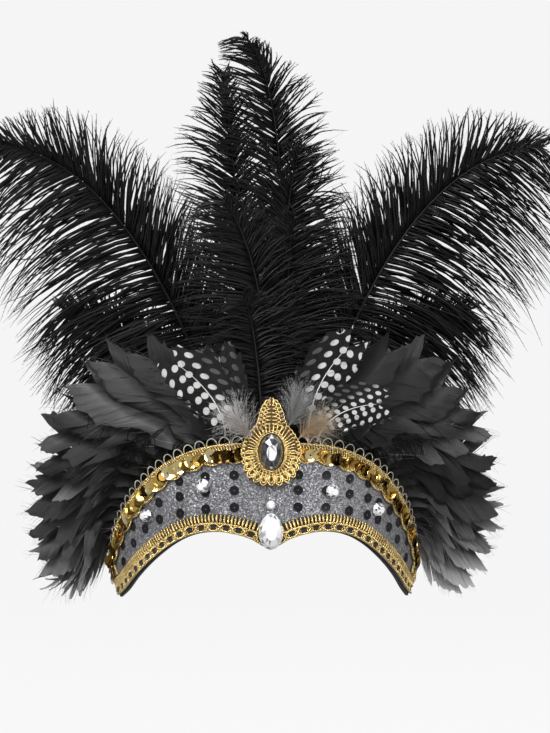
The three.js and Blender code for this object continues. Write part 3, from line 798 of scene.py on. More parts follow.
def loops(trim, runs, width, height, across, offset, radius, steps=15, full=True, shade=0.5):
    sweep = np.linspace(0, 2 * np.pi, steps) if full else np.linspace(-0.25, np.pi + 0.25, steps)
    run = runs[:, None] + width / 2 * np.cos(sweep)
    out = across + height / 2 * np.sin(sweep) if full else across - height * np.maximum(np.sin(sweep), -0.25)
    paths = trim.point(run, np.broadcast_to(out, run.shape), offset)
    return tubes(paths, radius * mm, 5, shade=shade)


def stripPiece(name, trim, fromAcross, toAcross, offset, thickness, columns=160):
    clearSelection()
    bpy.ops.mesh.primitive_grid_add(x_subdivisions=columns, y_subdivisions=3, size=1)
    strip = bpy.context.object
    strip.name = strip.data.name = name
    flat = np.array([v.co[:2] for v in strip.data.vertices]) + 0.5
    share = flat[:, 1] if trim.side > 0 else 1 - flat[:, 1]
    place = trim.point(flat[:, 0] * trim.length, fromAcross + (toAcross - fromAcross) * share, offset)
    strip.data.vertices.foreach_set("co", place.astype(np.float32).ravel())
    wall = strip.modifiers.new("wall", "SOLIDIFY")
    wall.thickness = thickness * mm
    wall.offset = 1
    applyModifiers(strip)
    strip.data.shade_smooth()
    return strip


# lower braid: ribbed gimp over a row of loops on a dark ground
gimp = {"end": 0.985, "ribPitch": 1.75, "ribFrom": 4.9, "ribTo": 9.6, "loopPitch": 6.4, "loopWidth": 6.0,
        "loopHeight": 3.9}
lowTrim = Trim(lowEdge, 1, gimp["end"])
braidGround = stripPiece("braidGround", lowTrim, 0.4, 9.7, 1.35, 0.5)
finishPiece(braidGround, black, "felt")
dice = np.random.default_rng(12)
ribRuns = np.arange(1, lowTrim.length - 1, gimp["ribPitch"])
loopRuns = np.arange(3.5, lowTrim.length - 3, gimp["loopPitch"])
braidParts = [bars(lowTrim, ribRuns, gimp["ribFrom"], gimp["ribTo"], 2.15, 0.7, crown=0.5, sides=6,
                   shade=dice.uniform(0.3, 0.75, len(ribRuns)))]
braidParts += cord(lowTrim, 4.7, 2.3, 0.42, 2.4, 0.34)
braidParts += cord(lowTrim, 0.75, 2.0, 0.36, 2.2, 0.28)
braidParts += [loops(lowTrim, loopRuns, gimp["loopWidth"], gimp["loopHeight"], 2.6, 2.3, 0.52,
                     shade=dice.uniform(0.4, 0.9, len(loopRuns)))]
braidParts += [loops(lowTrim, loopRuns + gimp["loopPitch"] / 2, 3.2, 2.4, 2.3, 2.15, 0.36,
                     shade=dice.uniform(0.2, 0.5, len(loopRuns)))]
lowerBraid = joinBundles("lowerBraid", braidParts)
finishPiece(lowerBraid, goldThread, "gold_braid", "lower_braid")
print("lower braid", len(lowerBraid.data.polygons))


# upper trim: picot loops, a gold gimp, overlapping sequins and a scalloped edge
trimSize = {"endShare": 0.62, "picotPitch": 6.6, "picotHeight": 4.0, "sequinPitch": 4.0, "sequinRadius": 3.5,
            "scallop": 12.5}
highTrim = Trim(highEdge, -1, 1.0, highEdge[-1] + (lowEdge[-1] - highEdge[-1]) * trimSize["endShare"])
middle = highTrim.length / 2
# the dark ground strip shows in the gaps between the gold ribs as painted shade
trimGround = stripPiece("trimGround", highTrim, 0.3, 9.6, 1.35, 0.5)
finishPiece(trimGround, darkGroundAndGapShade, "gold_braid")
dice = np.random.default_rng(13)


def scallopDepth(run):
    return 8.2 + 2.1 * np.abs(np.sin(np.pi * (run - middle) / trimSize["scallop"]))


gimpRuns = np.arange(0.8, highTrim.length - 0.8, 1.45)
fanRuns = np.arange(0.8, highTrim.length - 0.8, 1.25)
trimParts = [bars(highTrim, gimpRuns, 0.5, 4.6, 2.1, 0.55, slant=1.2, crown=0.45,
                  shade=dice.uniform(0.3, 0.85, len(gimpRuns)))]
trimParts += cord(highTrim, 0.5, 2.35, 0.34, 2.0, 0.28)
trimParts += cord(highTrim, 4.7, 2.35, 0.34, 2.0, 0.28)
trimParts += [bars(highTrim, fanRuns, np.full(len(fanRuns), 6.8), scallopDepth(fanRuns), 2.1, 0.46, crown=0.3,
                   shade=dice.uniform(0.35, 0.85, len(fanRuns)))]
trimParts += cord(highTrim, 0.2, 2.2, 0.4, 2.0, 0.32, wave=scallopDepth)
goldTrim = joinBundles("goldTrim", trimParts)
finishPiece(goldTrim, goldThread, "gold_braid", "sequin_trim")

picotRuns = np.arange(2.5, highTrim.length - 2, trimSize["picotPitch"])
picotRuns = picotRuns[np.abs(picotRuns - middle) > 15]
picots = joinBundles("picotLoops", [
    loops(highTrim, picotRuns, 5.6, trimSize["picotHeight"], 0.4, 2.2, 0.3, steps=13, full=False,
          shade=dice.uniform(0.4, 1.0, len(picotRuns)))])
finishPiece(picots, paleThread, "gold_braid")

sequinRuns = np.arange(2.5, highTrim.length - 2, trimSize["sequinPitch"])
sequinFrames = []
for run in sequinRuns:
    tilt = (0.22 + dice.normal(0, 0.2), dice.normal(0.05, 0.25))
    sequinFrames.append(highTrim.frame(run, 6.2 + dice.normal(0, 0.6), 3.6, tilt))
# each sequin draws its tone at random: painted reflection and shade, dark on some sequins and bright on others
sequins = copyPieces(sequinDisc("sequin", trimSize["sequinRadius"], 0.6, 0.16, 0.45, 16), "goldSequins",
                     sequinFrames, dice.beta(0.75, 0.8, len(sequinRuns)))
finishPiece(sequins, foil, "gold_sequins")
print("upper trim", len(goldTrim.data.polygons), "sequins", len(sequinRuns))


# medallion: purl and loops of gold thread on a shaped ground
medal = {"offset": 3.9, "ground": 0.9, "centre": 51.5, "stone": (6.5, 9.9)}
outline = np.array([(33.4, 4), (35.5, 9), (39, 12.5), (45, 14.6), (51, 15), (57, 13.6), (62, 10.5), (66.5, 7),
                    (72, 6), (77, 4), (80.4, 1)], float)  # height, half width
clearSelection()
bpy.ops.mesh.primitive_grid_add(x_subdivisions=10, y_subdivisions=24, size=2)
medalGround = bpy.context.object
medalGround.name = medalGround.data.name = "medallionGround"
flat = np.array([v.co[:2] for v in medalGround.data.vertices])
heights = np.interp(flat[:, 1], np.linspace(-1, 1, len(outline)), outline[:, 0])
halves = np.interp(heights, outline[:, 0], outline[:, 1]) - 0.6
medalGround.data.vertices.foreach_set(
    "co", wallPoint(flat[:, 0] * halves, heights, medal["offset"]).astype(np.float32).ravel())
wall = medalGround.modifiers.new("wall", "SOLIDIFY")
wall.thickness = medal["ground"] * mm
wall.offset = 1
applyModifiers(medalGround)
finishPiece(medalGround, darkGroundAndGapShade, "gold_braid")


def medalPath(arcs, rises, lift):
    return wallPoint(arcs, medal["centre"] + rises, medal["offset"] + medal["ground"] + lift)


def rimReach(angle):  # how far the outline lies from the stone's middle
    tries = np.linspace(4, 32, 120)
    arc, rise = np.cos(angle) * tries, np.sin(angle) * tries
    inside = np.abs(arc) < np.interp(medal["centre"] + rise, outline[:, 0], outline[:, 1], left=-1, right=-1)
    return tries[inside].max()


dice = np.random.default_rng(14)
medalParts = []
share = np.linspace(0, 1, 9)
for k in range(44):  # purl rays round the stone
    angle = 2 * np.pi * (k + 0.5) / 44
    start = np.hypot(medal["stone"][0] * np.cos(angle), medal["stone"][1] * np.sin(angle))
    stop = min(rimReach(angle) - 1.2, start + 5.2)
    if stop < start + 1:
        continue
    out = start + (stop - start) * share
    path = medalPath(out * np.cos(angle), out * np.sin(angle), 0.5 + 0.6 * np.sin(np.pi * share))
    medalParts.append(tubes(path[None], 0.42 * mm, 5, shade=dice.uniform(0.3, 0.9, 1)))
sweep = np.linspace(0, 2 * np.pi, 17)
for k in range(13):  # petals of looped thread round the lower half
    angle = np.radians(188 + 164 * k / 12)
    reach = rimReach(angle)
    petal = np.stack([reach - 3.2 + 3.0 * np.cos(sweep), 1.75 * np.sin(sweep) * (1.15 - 0.3 * np.cos(sweep))], 1)
    for scale, lift in ((1.0, 0.75), (0.55, 0.6)):
        radial = reach - 3.2 + (petal[:, 0] - reach + 3.2) * scale
        arcs = radial * np.cos(angle) - petal[:, 1] * scale * np.sin(angle)
        rises = radial * np.sin(angle) + petal[:, 1] * scale * np.cos(angle)
        medalParts.append(tubes(medalPath(arcs, rises, lift)[None], 0.42 * mm, 5, shade=dice.uniform(0.5, 1, 1)))
for side in (-1, 1):  # scrolled edge up both sides to the top
    climb = np.linspace(50, 79.6, 240)
    half = np.interp(climb, outline[:, 0], outline[:, 1]) - 0.9
    curl = np.arange(240) * 2 * np.pi / 16
    rises = climb - medal["centre"] + 0.9 * np.sin(curl)
    path = medalPath(side * (half + 0.75 * np.cos(curl)), rises, 0.7 + 0.25 * np.sin(curl))
    medalParts.append(tubes(path[None], 0.36 * mm, 5, shade=np.array([0.75])))
for k in range(8):  # leaf strokes that fill the neck
    for side in (-1, 1):
        foot = 63.0 + 2.0 * k
        width = np.interp(foot + 2, outline[:, 0], outline[:, 1]) - 1.6
        bow = np.linspace(0, np.pi, 9)
        arcs = side * (0.4 + width * np.sin(bow) * 0.8)
        rises = foot - medal["centre"] + 1.4 - 2.2 * np.cos(bow) * 0.9
        medalParts.append(tubes(medalPath(arcs, rises, 0.8)[None], 0.38 * mm, 5, shade=dice.uniform(0.3, 0.9, 1)))
for scale, lift in ((1.04, 0.6), (1.16, 0.5)):  # cords round the stone
    ring = np.linspace(0, 2 * np.pi, 49)
    path = medalPath(medal["stone"][0] * scale * np.cos(ring), medal["stone"][1] * scale * np.sin(ring), lift)
    medalParts.append(tubes(path[None], 0.4 * mm, 5, shade=np.array([0.5])))
medallion = joinBundles("medallionThread", medalParts)
finishPiece(medallion, goldThread, "gold_braid", "medallion")
print("medallion", len(medallion.data.polygons))


# stones: a girdle, a crown in two turned steps and a table
def cutStone(name, sides, width, height, depth, taper, place, tones, seed, material, slot, node):
    clearSelection()
    bpy.ops.mesh.primitive_cylinder_add(vertices=sides, radius=0.5, depth=0.2, location=(0, 0, 0.1))
    stone = bpy.context.object
    stone.name = stone.data.name = name
    bpy.ops.object.transform_apply(location=True)
    bpy.ops.object.mode_set(mode="EDIT")
    bpy.ops.mesh.select_all(action="DESELECT")
    bpy.ops.object.mode_set(mode="OBJECT")
    for face in stone.data.polygons:
        face.select = face.normal.z > 0.9
    bpy.ops.object.mode_set(mode="EDIT")
    level = 0.2
    for inset, rise in ((0.1, 0.46), (0.17, 0.34)):
        bpy.ops.mesh.inset(thickness=inset, depth=0)
        bpy.ops.transform.translate(value=(0, 0, rise))
        level += rise
        bpy.ops.transform.rotate(value=math.pi / sides, orient_axis="Z", center_override=(0, 0, level))
    bpy.ops.mesh.select_all(action="SELECT")
    bpy.ops.mesh.quads_convert_to_tris(quad_method="FIXED", ngon_method="BEAUTY")
    bpy.ops.mesh.normals_make_consistent(inside=False)
    bpy.ops.object.mode_set(mode="OBJECT")
    dice = np.random.default_rng(seed)
    # random facet tones from dark to white: painted reflections and sparkle
    tone = dice.uniform(*tones, len(stone.data.polygons))
    # the table facets are set bright: a painted highlight on the top of the stone
    for face in stone.data.polygons:
        if face.normal.z > 0.97:
            tone[face.index] = 0.75 + 0.25 * (math.sin(3 * math.atan2(face.center.y, face.center.x)) > -0.4)
    layer = stone.data.attributes.new("facetGlint", "FLOAT", "FACE")
    layer.data.foreach_set("value", tone.astype(np.float32))
    for vertex in stone.data.vertices:
        x, y = vertex.co.x * 2, vertex.co.y * 2
        vertex.co.x *= width * mm * (1 - taper * max(0.0, y) ** 2)
        vertex.co.y *= height * mm
        vertex.co.z *= depth * mm
    stone.data.transform(place)
    stone.data.shade_flat()
    return finishPiece(stone, material, slot, node)


cutStone("ovalStone", 12, 12.5, 19.5, 5.0, 0.0, wallFrame(0, 51.5, 5.0), (0.0, 0.6), 3, smokeStone,
         "smoke_stone", "oval_stone")
cutStone("pearStone", 14, 13.5, 20, 5.5, 0.35, wallFrame(0, 9.2, 3.4), (0.25, 1.0), 4, clearStone,
         "clear_stone", "pear_stone")
cutStone("dropStone", 10, 5, 5, 2.4, 0.0, wallFrame(0, 23, 1.6), (0.5, 1.0), 5, clearStone,
         "clear_stone", "drop_stone")
for k, (angle, height) in enumerate(((-48, 16), (-23.7, 33), (22, 30), (42, 19.4))):
    cutStone(f"roundStone{k + 1}", 12, 8, 8, 3.6, 0.0, wallFrame(angle, height, 1.6), (0.0, 1.0), 20 + k,
             clearStone, "clear_stone", f"round_stone_{k + 1}")
print("stones cut")


# feather shafts
shaftSize = {"quill": 1.2, "quillGap": 0.5, "leanHeight": 75, "belowEdge": 24, "samples": 260}


class Shaft:  # a line through points, read by its share of length
    def __init__(self, points):
        step = np.linalg.norm(np.diff(points, axis=0), axis=1)
        run = np.concatenate([[0], np.cumsum(step)])
        self.length = run[-1]
        share = np.linspace(0, 1, shaftSize["samples"])
        self.points = np.stack([np.interp(share * self.length, run, points[:, k]) for k in range(3)], 1)
        self.tangents = unit(np.gradient(self.points, axis=0))
        self.share = share

    def at(self, share):
        return np.stack([np.interp(share, self.share, self.points[:, k]) for k in range(3)], -1)

    def along(self, share):
        return unit(np.stack([np.interp(share, self.share, self.tangents[:, k]) for k in range(3)], -1))


def quillRoot(angle, belowEdge):
    height = edgeHeight(ribs[:, 2], ribs[:, 3], angle) - belowEdge
    behind = -(crescent["felt"] + shaftSize["quillGap"] + shaftSize["quill"])
    return wallPoint(math.radians(angle) * crescent["radius"], height, behind) / mm


def bezier(a, b, c, d, t):
    t = t[:, None]
    return a * (1 - t) ** 3 + 3 * b * t * (1 - t) ** 2 + 3 * c * t * t * (1 - t) + d * t ** 3


def leaningShaft(root, pull, bend, tip, depth, curl, leanStart, leanHeight):
    t = np.linspace(0, 1, 500)
    flat = bezier(np.array([root[0], root[2]]), np.array(pull, float), np.array(bend, float), np.array(tip, float), t)
    lean = smoothStep(flat[:, 1], leanStart, leanStart + leanHeight)
    y = root[1] + (depth - root[1]) * lean - curl * t ** 4
    return Shaft(np.stack([flat[:, 0], y, flat[:, 1]], 1) * mm)


def shaftTube(shaft, thick, thin, facing, sides=7, steps=46, end=1.0, shade=0.5):
    share = np.linspace(0, end, steps)
    radius = (thick + (thin - thick) * share ** 0.8) * mm
    return tubes(shaft.at(share)[None], radius, sides, facing=facing, shade=np.array([shade]), reach=0 * share)


# barbs on one side of a shaft: paths that leave it at an angle, then bow, sag, hook and gather
def growBarbs(shaft, facing, side, count, span, lengthAt, angleAt, dice, sag=0.0, spread=0.0, curve=0.0, cup=0.0,
              hook=0.0, gather=None, ripple=0.0, steps=7, even=False, scatter=4.0):
    start, end = span
    share = start + (end - start) * (np.arange(count) + (0.5 if even else dice.random(count))) / count
    place = (share - start) / (end - start)
    tangent = shaft.along(share)
    facing = np.asarray(facing, float)
    across = unit(np.cross(tangent, facing))
    angle = np.radians(angleAt(place) + dice.normal(0, scatter, count))
    first = tangent * np.cos(angle)[:, None] + side * across * np.sin(angle)[:, None]
    first = unit(first + facing * dice.normal(0, spread, count)[:, None])
    beside = unit(np.cross(first, facing)) * side
    length = lengthAt(place) * mm * (1 + dice.normal(0, 0.07, count))
    s = np.linspace(0, 1, steps + 1)[:, None]
    sink = (sag * (1 + dice.normal(0, 0.25, count)))[:, None, None]
    bow = s * first[:, None] - sink * s ** 2 * np.array([0, 0, 1.0]) + curve * s ** 2 * tangent[:, None]
    bow = bow + cup * s ** 2 * facing + (hook * dice.normal(0.4, 1, count))[:, None, None] * s ** 4 * beside[:, None]
    wave = ripple * mm * np.sin(dice.uniform(0, 6.28, count)[:, None, None] + 5 * s) * s
    paths = shaft.at(share)[:, None] + length[:, None, None] * bow + wave * beside[:, None]
    if gather:
        group = np.cumsum(dice.random(count) < 1 / gather[0])
        total = np.zeros((group[-1] + 1, steps + 1, 3))
        np.add.at(total, group, paths)
        mean = total / np.maximum(np.bincount(group, minlength=len(total)), 1)[:, None, None]
        pull = gather[1] * dice.uniform(0.4, 1.2, len(total))[group][:, None, None] * s ** 1.6
        paths = paths + pull * (mean[group] - paths)
    return paths, place


def keepBehind(paths):  # barbs that hang below the upper edge stay behind the felt
    x, y, z = (paths[..., k] / mm for k in range(3))
    angle = np.degrees(np.arctan2(np.abs(x), -y))
    edge = np.interp(angle, ribs[:, 2], ribs[:, 3])
    limit = crescent["radius"] + crescent["flare"] * z - crescent["felt"] - 1.5 + 0.9 * np.maximum(0, z - edge - 2)
    radius = np.hypot(x, y)
    pull = np.where(angle < ribs[-1, 2] + 3, np.minimum(1, limit / np.maximum(radius, 1)), 1.0)
    return paths * np.stack([pull, pull, np.ones_like(pull)], -1)


def fluff(paths, each, length, radius, dice, shades):
    count, steps, _ = paths.shape
    s = dice.uniform(0.03, 0.98, (count, each))
    spot = s * (steps - 1)
    low = np.minimum(spot.astype(int), steps - 2)
    mix = (spot - low)[..., None]
    barb = np.arange(count)[:, None]
    root = paths[barb, low] * (1 - mix) + paths[barb, low + 1] * mix
    along = unit(paths[barb, low + 1] - paths[barb, low])
    across = unit(np.cross(along, (0, -1, 0)))
    side = np.where(dice.random((count, each)) < 0.5, -1.0, 1.0)[..., None]
    out = unit(along * 1.5 + across * side + np.cross(across, along) * dice.normal(0, 0.5, (count, each))[..., None])
    reach = length * mm * dice.uniform(0.5, 1.2, (count, each)) * (1 - 0.5 * s)
    tips = root + out * reach[..., None]
    cell = int(np.ceil(np.sqrt(count)))
    column, row = np.arange(count)[:, None] % cell, np.arange(count)[:, None] // cell
    at = np.stack([(column + 0.05 + 0.85 * s) / cell, (row + 0.2 + 0 * s) / cell], -1)
    return needles(root.reshape(-1, 3), tips.reshape(-1, 3), np.full(s.size, radius * mm),
                   np.repeat(shades, each), s.ravel(), at.reshape(-1, 2))


# ostrich plumes; lengths and angles of the barbs are read at four places up the shaft
barbPlaces = (0.0, 0.38, 0.78, 1.0)
barbSize = {"width": 0.5, "steps": 7, "fluffLength": 2.6, "fluffRadius": 0.13, "coreWidth": 1.2, "coreShare": 0.9,
            "bareQuill": 25}
upright = (84, 54, 43, 24)
level = (97, 68, 54, 34)
plumes = [  # node, root x, pull, bend, tip, depth, curl, barbs, fluff, seed, then left and right: lengths, angles, sag
    ("plume_tall_left", -7.2, (-10, 125), (-18, 222), (-24, 260), -36, 6, 210, 24, 31,
     ((34, 50, 38, 13), upright, 0.2), ((30, 38, 28, 10), upright, 0.2)),
    ("plume_tall", 10.8, (10, 130), (15, 258), (-14, 277), -43, 16, 240, 24, 32,
     ((30, 42, 42, 17), (80, 52, 45, 34), 0.2), ((34, 52, 36, 6), (80, 54, 46, 20), 0.2)),
    ("plume_mid_right", 7.2, (8, 110), (8, 200), (19, 217), -50, 8, 150, 14, 33,
     ((32, 40, 32, 14), upright, 0.2), ((34, 48, 38, 13), (84, 58, 48, 28), 0.25)),
    ("plume_front_right", 3.6, (10, 100), (9, 160), (14, 178), -67, 8, 150, 14, 34,
     ((26, 32, 26, 12), upright, 0.25), ((34, 52, 44, 15), level, 0.2)),
    ("plume_front_left", 0, (2, 110), (-6, 164), (-25, 186), -73, 8, 160, 14, 35,
     ((34, 52, 44, 17), level, 0.2), ((26, 36, 28, 10), upright, 0.2)),
    ("plume_low_front", -3.6, (-4, 95), (-10, 130), (-15, 134), -80, 5, 110, 14, 36,
     ((22, 32, 26, 12), level, 0.35), ((22, 34, 28, 12), level, 0.35)),
    ("plume_side_left", -14.4, (-46, 135), (-88, 217), (-152, 217), -55.5, 10, 280, 24, 37,
     ((44, 76, 60, 14), (96, 74, 58, 32), 0.38), ((40, 62, 42, 11), (46, 38, 42, 26), 0.08)),
    ("plume_side_right", 14.4, (46, 135), (88, 217), (152, 217), -55.5, 10, 280, 24, 38,
     ((40, 62, 42, 11), (46, 38, 42, 26), 0.08), ((44, 76, 60, 14), (96, 74, 58, 32), 0.38)),
    ("plume_low_side_left", -18, (-40, 92), (-76, 122), (-112, 128), -43.5, 4, 185, 20, 39,
     ((30, 50, 44, 18), (94, 74, 58, 38), 0.42), ((26, 38, 26, 10), (50, 44, 42, 26), 0.06)),
    ("plume_low_side_right", 18, (40, 92), (76, 122), (112, 128), -43.5, 4, 185, 20, 40,
     ((26, 38, 26, 10), (50, 44, 42, 26), 0.06), ((30, 50, 44, 18), (94, 74, 58, 38), 0.42)),
]
front = (0, -1, 0)


def growPlume(row):
    node, rootX, pull, bend, tip, depth, curl, count, each, seed, left, right = row
    dice = np.random.default_rng(seed)
    root = quillRoot(math.degrees(math.asin(rootX / crescent["radius"])), shaftSize["belowEdge"])
    shaft = leaningShaft(root, pull, bend, tip, depth, curl, root[2], shaftSize["leanHeight"])
    start = barbSize["bareQuill"] * mm / shaft.length
    bundles = [shaftTube(shaft, 1.15, 0.3, front, shade=0.35)]
    s = np.linspace(0, 1, barbSize["steps"] + 1)
    coreS = np.linspace(0, 1, 6)
    for side, (lengths, angles, sag) in ((-1, left), (1, right)):
        def lengthAt(place):
            return np.interp(place, barbPlaces, lengths)

        def angleAt(place):
            return np.interp(place, barbPlaces, angles)

        paths, place = growBarbs(shaft, front, side, count, (start, 0.99), lengthAt, angleAt, dice, sag, 0.16,
                                 hook=0.11, gather=(4, 0.5), ripple=1.5, steps=barbSize["steps"])
        paths = keepBehind(paths)
        shades = np.clip(dice.normal(0.45, 0.2, count), 0, 1)
        radii = barbSize["width"] * mm * (0.55 + 0.6 * np.sin(np.pi * (0.1 + 0.75 * s)) - 0.7 * s ** 3)
        bundles.append(tubes(paths, radii, 3, flat=0.5, shade=shades))
        bundles.append(fluff(paths, each, barbSize["fluffLength"], barbSize["fluffRadius"], dice, shades))
        core, place = growBarbs(shaft, front, side, count // 2, (start, 0.97),
                                lambda v: lengthAt(v) * (barbSize["coreShare"] - 0.4 * v), angleAt, dice, sag, 0.1,
                                ripple=0.5, steps=5)
        coreRadii = barbSize["coreWidth"] * mm * (1 - 0.92 * coreS ** 1.5)
        bundles.append(tubes(keepBehind(core), coreRadii, 3, flat=0.3, shade=np.full(count // 2, 0.15)))
        stray, place = growBarbs(shaft, front, side, 16, (start * 1.5, 0.9), lambda v: lengthAt(v) * 1.12, angleAt,
                                 dice, sag, 0.3, ripple=2.0, scatter=9, steps=barbSize["steps"])
        bundles.append(tubes(keepBehind(stray), 0.2 * mm * (1.1 - s), 3, shade=np.full(16, 0.5)))
    piece = joinBundles(node.replace("plume_", "ostrich_"), bundles)
    finishPiece(piece, ostrichBlack, "ostrich", node)
    return len(piece.data.polygons)


print("ostrich plumes", sum(growPlume(row) for row in plumes))


# short feathers: each side of the vane is one or more smooth locks of barbs that part towards their ends
def lockSheets(columns, side, facing, thick, tone):
    locks, wide, steps, _ = columns.shape
    half = np.asarray(facing, float) * thick * mm / 2
    points = np.stack([columns + half, columns - half], 1)
    grid = np.arange(2 * wide * steps).reshape(2, wide, steps)
    p00, p01, p10, p11 = grid[0, :-1, :-1], grid[0, :-1, 1:], grid[0, 1:, :-1], grid[0, 1:, 1:]
    face = np.concatenate([np.stack([p00, p01, p10], -1).reshape(-1, 3), np.stack([p10, p01, p11], -1).reshape(-1, 3)])
    ring = np.concatenate([grid[0, 0, :-1], grid[0, :-1, -1], grid[0, -1, :0:-1], grid[0, :0:-1, 0]])
    nextOn, under = np.roll(ring, -1), wide * steps
    rim = np.concatenate([np.stack([nextOn, ring, ring + under], 1),
                          np.stack([nextOn, ring + under, nextOn + under], 1)])
    whole = np.concatenate([face, face[:, ::-1] + under, rim])
    whole = whole if side > 0 else whole[:, ::-1]
    # flat map: front and back beside each other in the lock's own cell
    cell = int(np.ceil(np.sqrt(locks)))
    origin = np.stack([np.arange(locks) % cell, np.arange(locks) // cell], 1)[:, None, None]
    j, i = np.meshgrid(np.linspace(0, 1, wide), np.linspace(0, 1, steps), indexing="ij")
    spot = np.stack([np.stack([0.03 + 0.44 * i, 0.03 + 0.9 * j], -1), np.stack([0.52 + 0.44 * i, 0.03 + 0.9 * j], -1)])
    corners = spot.reshape(-1, 2)[whole]
    corners[2 * len(face):] = [(0.03, 0.95), (0.2, 0.95), (0.03, 0.98)]
    run = np.cumsum(np.linalg.norm(np.diff(columns, axis=2, prepend=columns[:, :, :1]), axis=3), axis=2) * 100
    lay = np.stack([run, np.broadcast_to(j + np.arange(locks)[:, None, None] * 1.37, run.shape)], -1)
    lay = np.repeat(lay[:, None], 2, 1).reshape(locks, -1, 2)
    size = 2 * wide * steps
    return {
        "points": points.reshape(-1, 3),
        "faces": (np.arange(locks)[:, None, None] * size + whole).reshape(-1, 3),
        "shade": np.repeat(tone[:, None], 2, 1).ravel(),
        "reach": np.broadcast_to(i, (locks, 2, wide, steps)).ravel(),
        "map": ((origin + corners) / cell).reshape(-1, 2),
        "lay": lay[:, whole].reshape(-1, 2),
    }


def growVane(name, shaft, facing, half, start, tones, locks, wide, loose,
             part, sway, cup, angles, blunt, dice, flare=0.0, pale=0.0):
    facing = np.asarray(facing, float)
    base, tip = shaft.at(start), shaft.at(1.0)
    axis = unit(tip - base)
    sideways = unit(np.cross(axis, facing))
    bundles = [shaftTube(shaft, 0.7, 0.14, facing, sides=6, steps=20, end=0.97, shade=pale or tones[0] + 0.15)]
    s = np.linspace(0, 1, 10)
    fineS = np.linspace(0, 1, 8)

    def angleAt(place):
        return angles[0] + (angles[1] - angles[0]) * place ** 1.3 + flare * np.exp(-place / 0.06)

    def lengthAt(place):
        bulge = np.sin(np.pi * (0.22 + 0.6 * place)) ** 0.6
        return np.minimum(half * bulge / np.sin(np.radians(angleAt(place))), half * (1.5 - blunt * place ** 2))

    for side in (-1, 1):
        paths, place = growBarbs(shaft, facing, side, locks * (wide - 1) + 1, (start, 0.99), lengthAt, angleAt, dice,
                                 0.03, 0.0, 0.2, cup, 0.0, steps=9, even=True, scatter=0.8)
        columns = np.stack([paths[k * (wide - 1):k * (wide - 1) + wide] for k in range(locks)])
        ends = columns[:, :, -1:] - columns[:, :, :1]
        middle = columns.mean(axis=1, keepdims=True)
        close = (part * dice.uniform(0.5, 1.1, (locks, 1, 1, 1))) * smoothStep(s, 0.4, 1.05)[:, None]
        columns = columns + close * (middle - columns)
        drift = unit(np.cross(ends, facing)) * side
        long = np.linalg.norm(ends, axis=3, keepdims=True)
        columns = columns + long * (s ** 3)[:, None] * (drift * dice.normal(0.02, sway, (locks, 1, 1, 1))
                                                        + facing * dice.normal(0.0, sway, (locks, 1, 1, 1)))
        columns = columns + facing * (0.35 * mm * (np.arange(locks) % 2))[:, None, None, None]
        foot = np.stack([place[k * (wide - 1):k * (wide - 1) + wide] for k in range(locks)])[..., None]
        # tones run from the shaft to the rim by the table; a light tip tone is partly the feather's grey and partly
        # painted light coming through the thin barb ends
        tone = np.interp(s, (0, 0.45, 1), tones) + dice.normal(0, 0.04, (locks, 1, 1))
        # painted shade: the tone is made darker toward the foot of the vane, where the feathers crowd by the band
        tone = tone + dice.normal(0, 0.02, (locks, wide, 1)) - 0.22 * (1 - foot) ** 1.5  # darker at the foot
        bundles.append(lockSheets(columns, side, facing, 0.22, np.clip(tone, 0, 1)))
        fine, place = growBarbs(shaft, facing, side, loose, (start, 0.995), lambda v: lengthAt(v) * 1.16, angleAt,
                                dice, 0.05, 0.08, 0.2, cup, sway, (5, 0.7), 0.5, 7, scatter=5)
        # the loose barbs take the same tones, light tips partly painted light coming through them
        tone = np.interp(fineS, (0, 0.45, 1), tones) + dice.normal(0.03, 0.1, loose)[:, None]
        bundles.append(tubes(fine, 0.17 * mm * (1.15 - fineS), 3, shade=np.clip(tone, 0, 1)))
    for bundle in bundles:
        away = bundle["points"] - base
        bundle["vane"] = np.stack([away @ axis, away @ sideways], 1) * 100
    piece = joinBundles(name, bundles)
    piece.data.set_sharp_from_angle(angle=math.radians(80))
    return piece


# light tip tones in this table are partly painted light coming through thin barb ends
sideFeathers = [  # angle, fan left and right, length, half width, then left and right: tones root, middle, tip
    (20, 41, 38, 56, 11, (0.08, 0.2, 0.2), (0.06, 0.14, 0.14)),
    (26, 49, 46, 63, 12, (0.1, 0.36, 0.25), (0.08, 0.2, 0.14)),
    (32, 56, 58, 60, 13, (0.2, 0.6, 0.4), (0.1, 0.34, 0.2)),
    (38, 66, 65, 58, 12, (0.14, 0.5, 0.2), (0.14, 0.52, 0.15)),
    (43, 76, 72, 61, 11, (0.1, 0.48, 0.4), (0.1, 0.5, 0.6)),
    (48, 82, 81, 55, 12, (0.1, 0.46, 0.12), (0.05, 0.2, 0.05)),
    (53, 89, 87, 56, 11, (0.1, 0.42, 0.6), (0.05, 0.16, 0.08)),
    (58, 93, 95, 54, 12, (0.1, 0.34, 0.25), (0.1, 0.35, 0.45)),
    (62.5, 101, 99, 53, 12, (0.12, 0.5, 0.4), (0.12, 0.5, 0.66)),
    (67, 108, 105, 50, 11, (0.14, 0.58, 0.4), (0.12, 0.5, 0.62)),
    (71, 114, 112, 49, 11, (0.2, 0.55, 0.62), (0.2, 0.58, 0.75)),
    (75, 122, 119, 45, 10, (0.3, 0.62, 0.78), (0.35, 0.76, 0.9)),
    (79, 124, 122, 38, 9, (0.4, 0.7, 0.85), (0.6, 1.0, 1.0))]
sideSize = {"belowEdge": 11, "neckRise": 6, "pullRise": 25, "bend": 0.4, "sweep": 24, "loose": 34, "wider": 1.28,
            "bareQuill": 12}


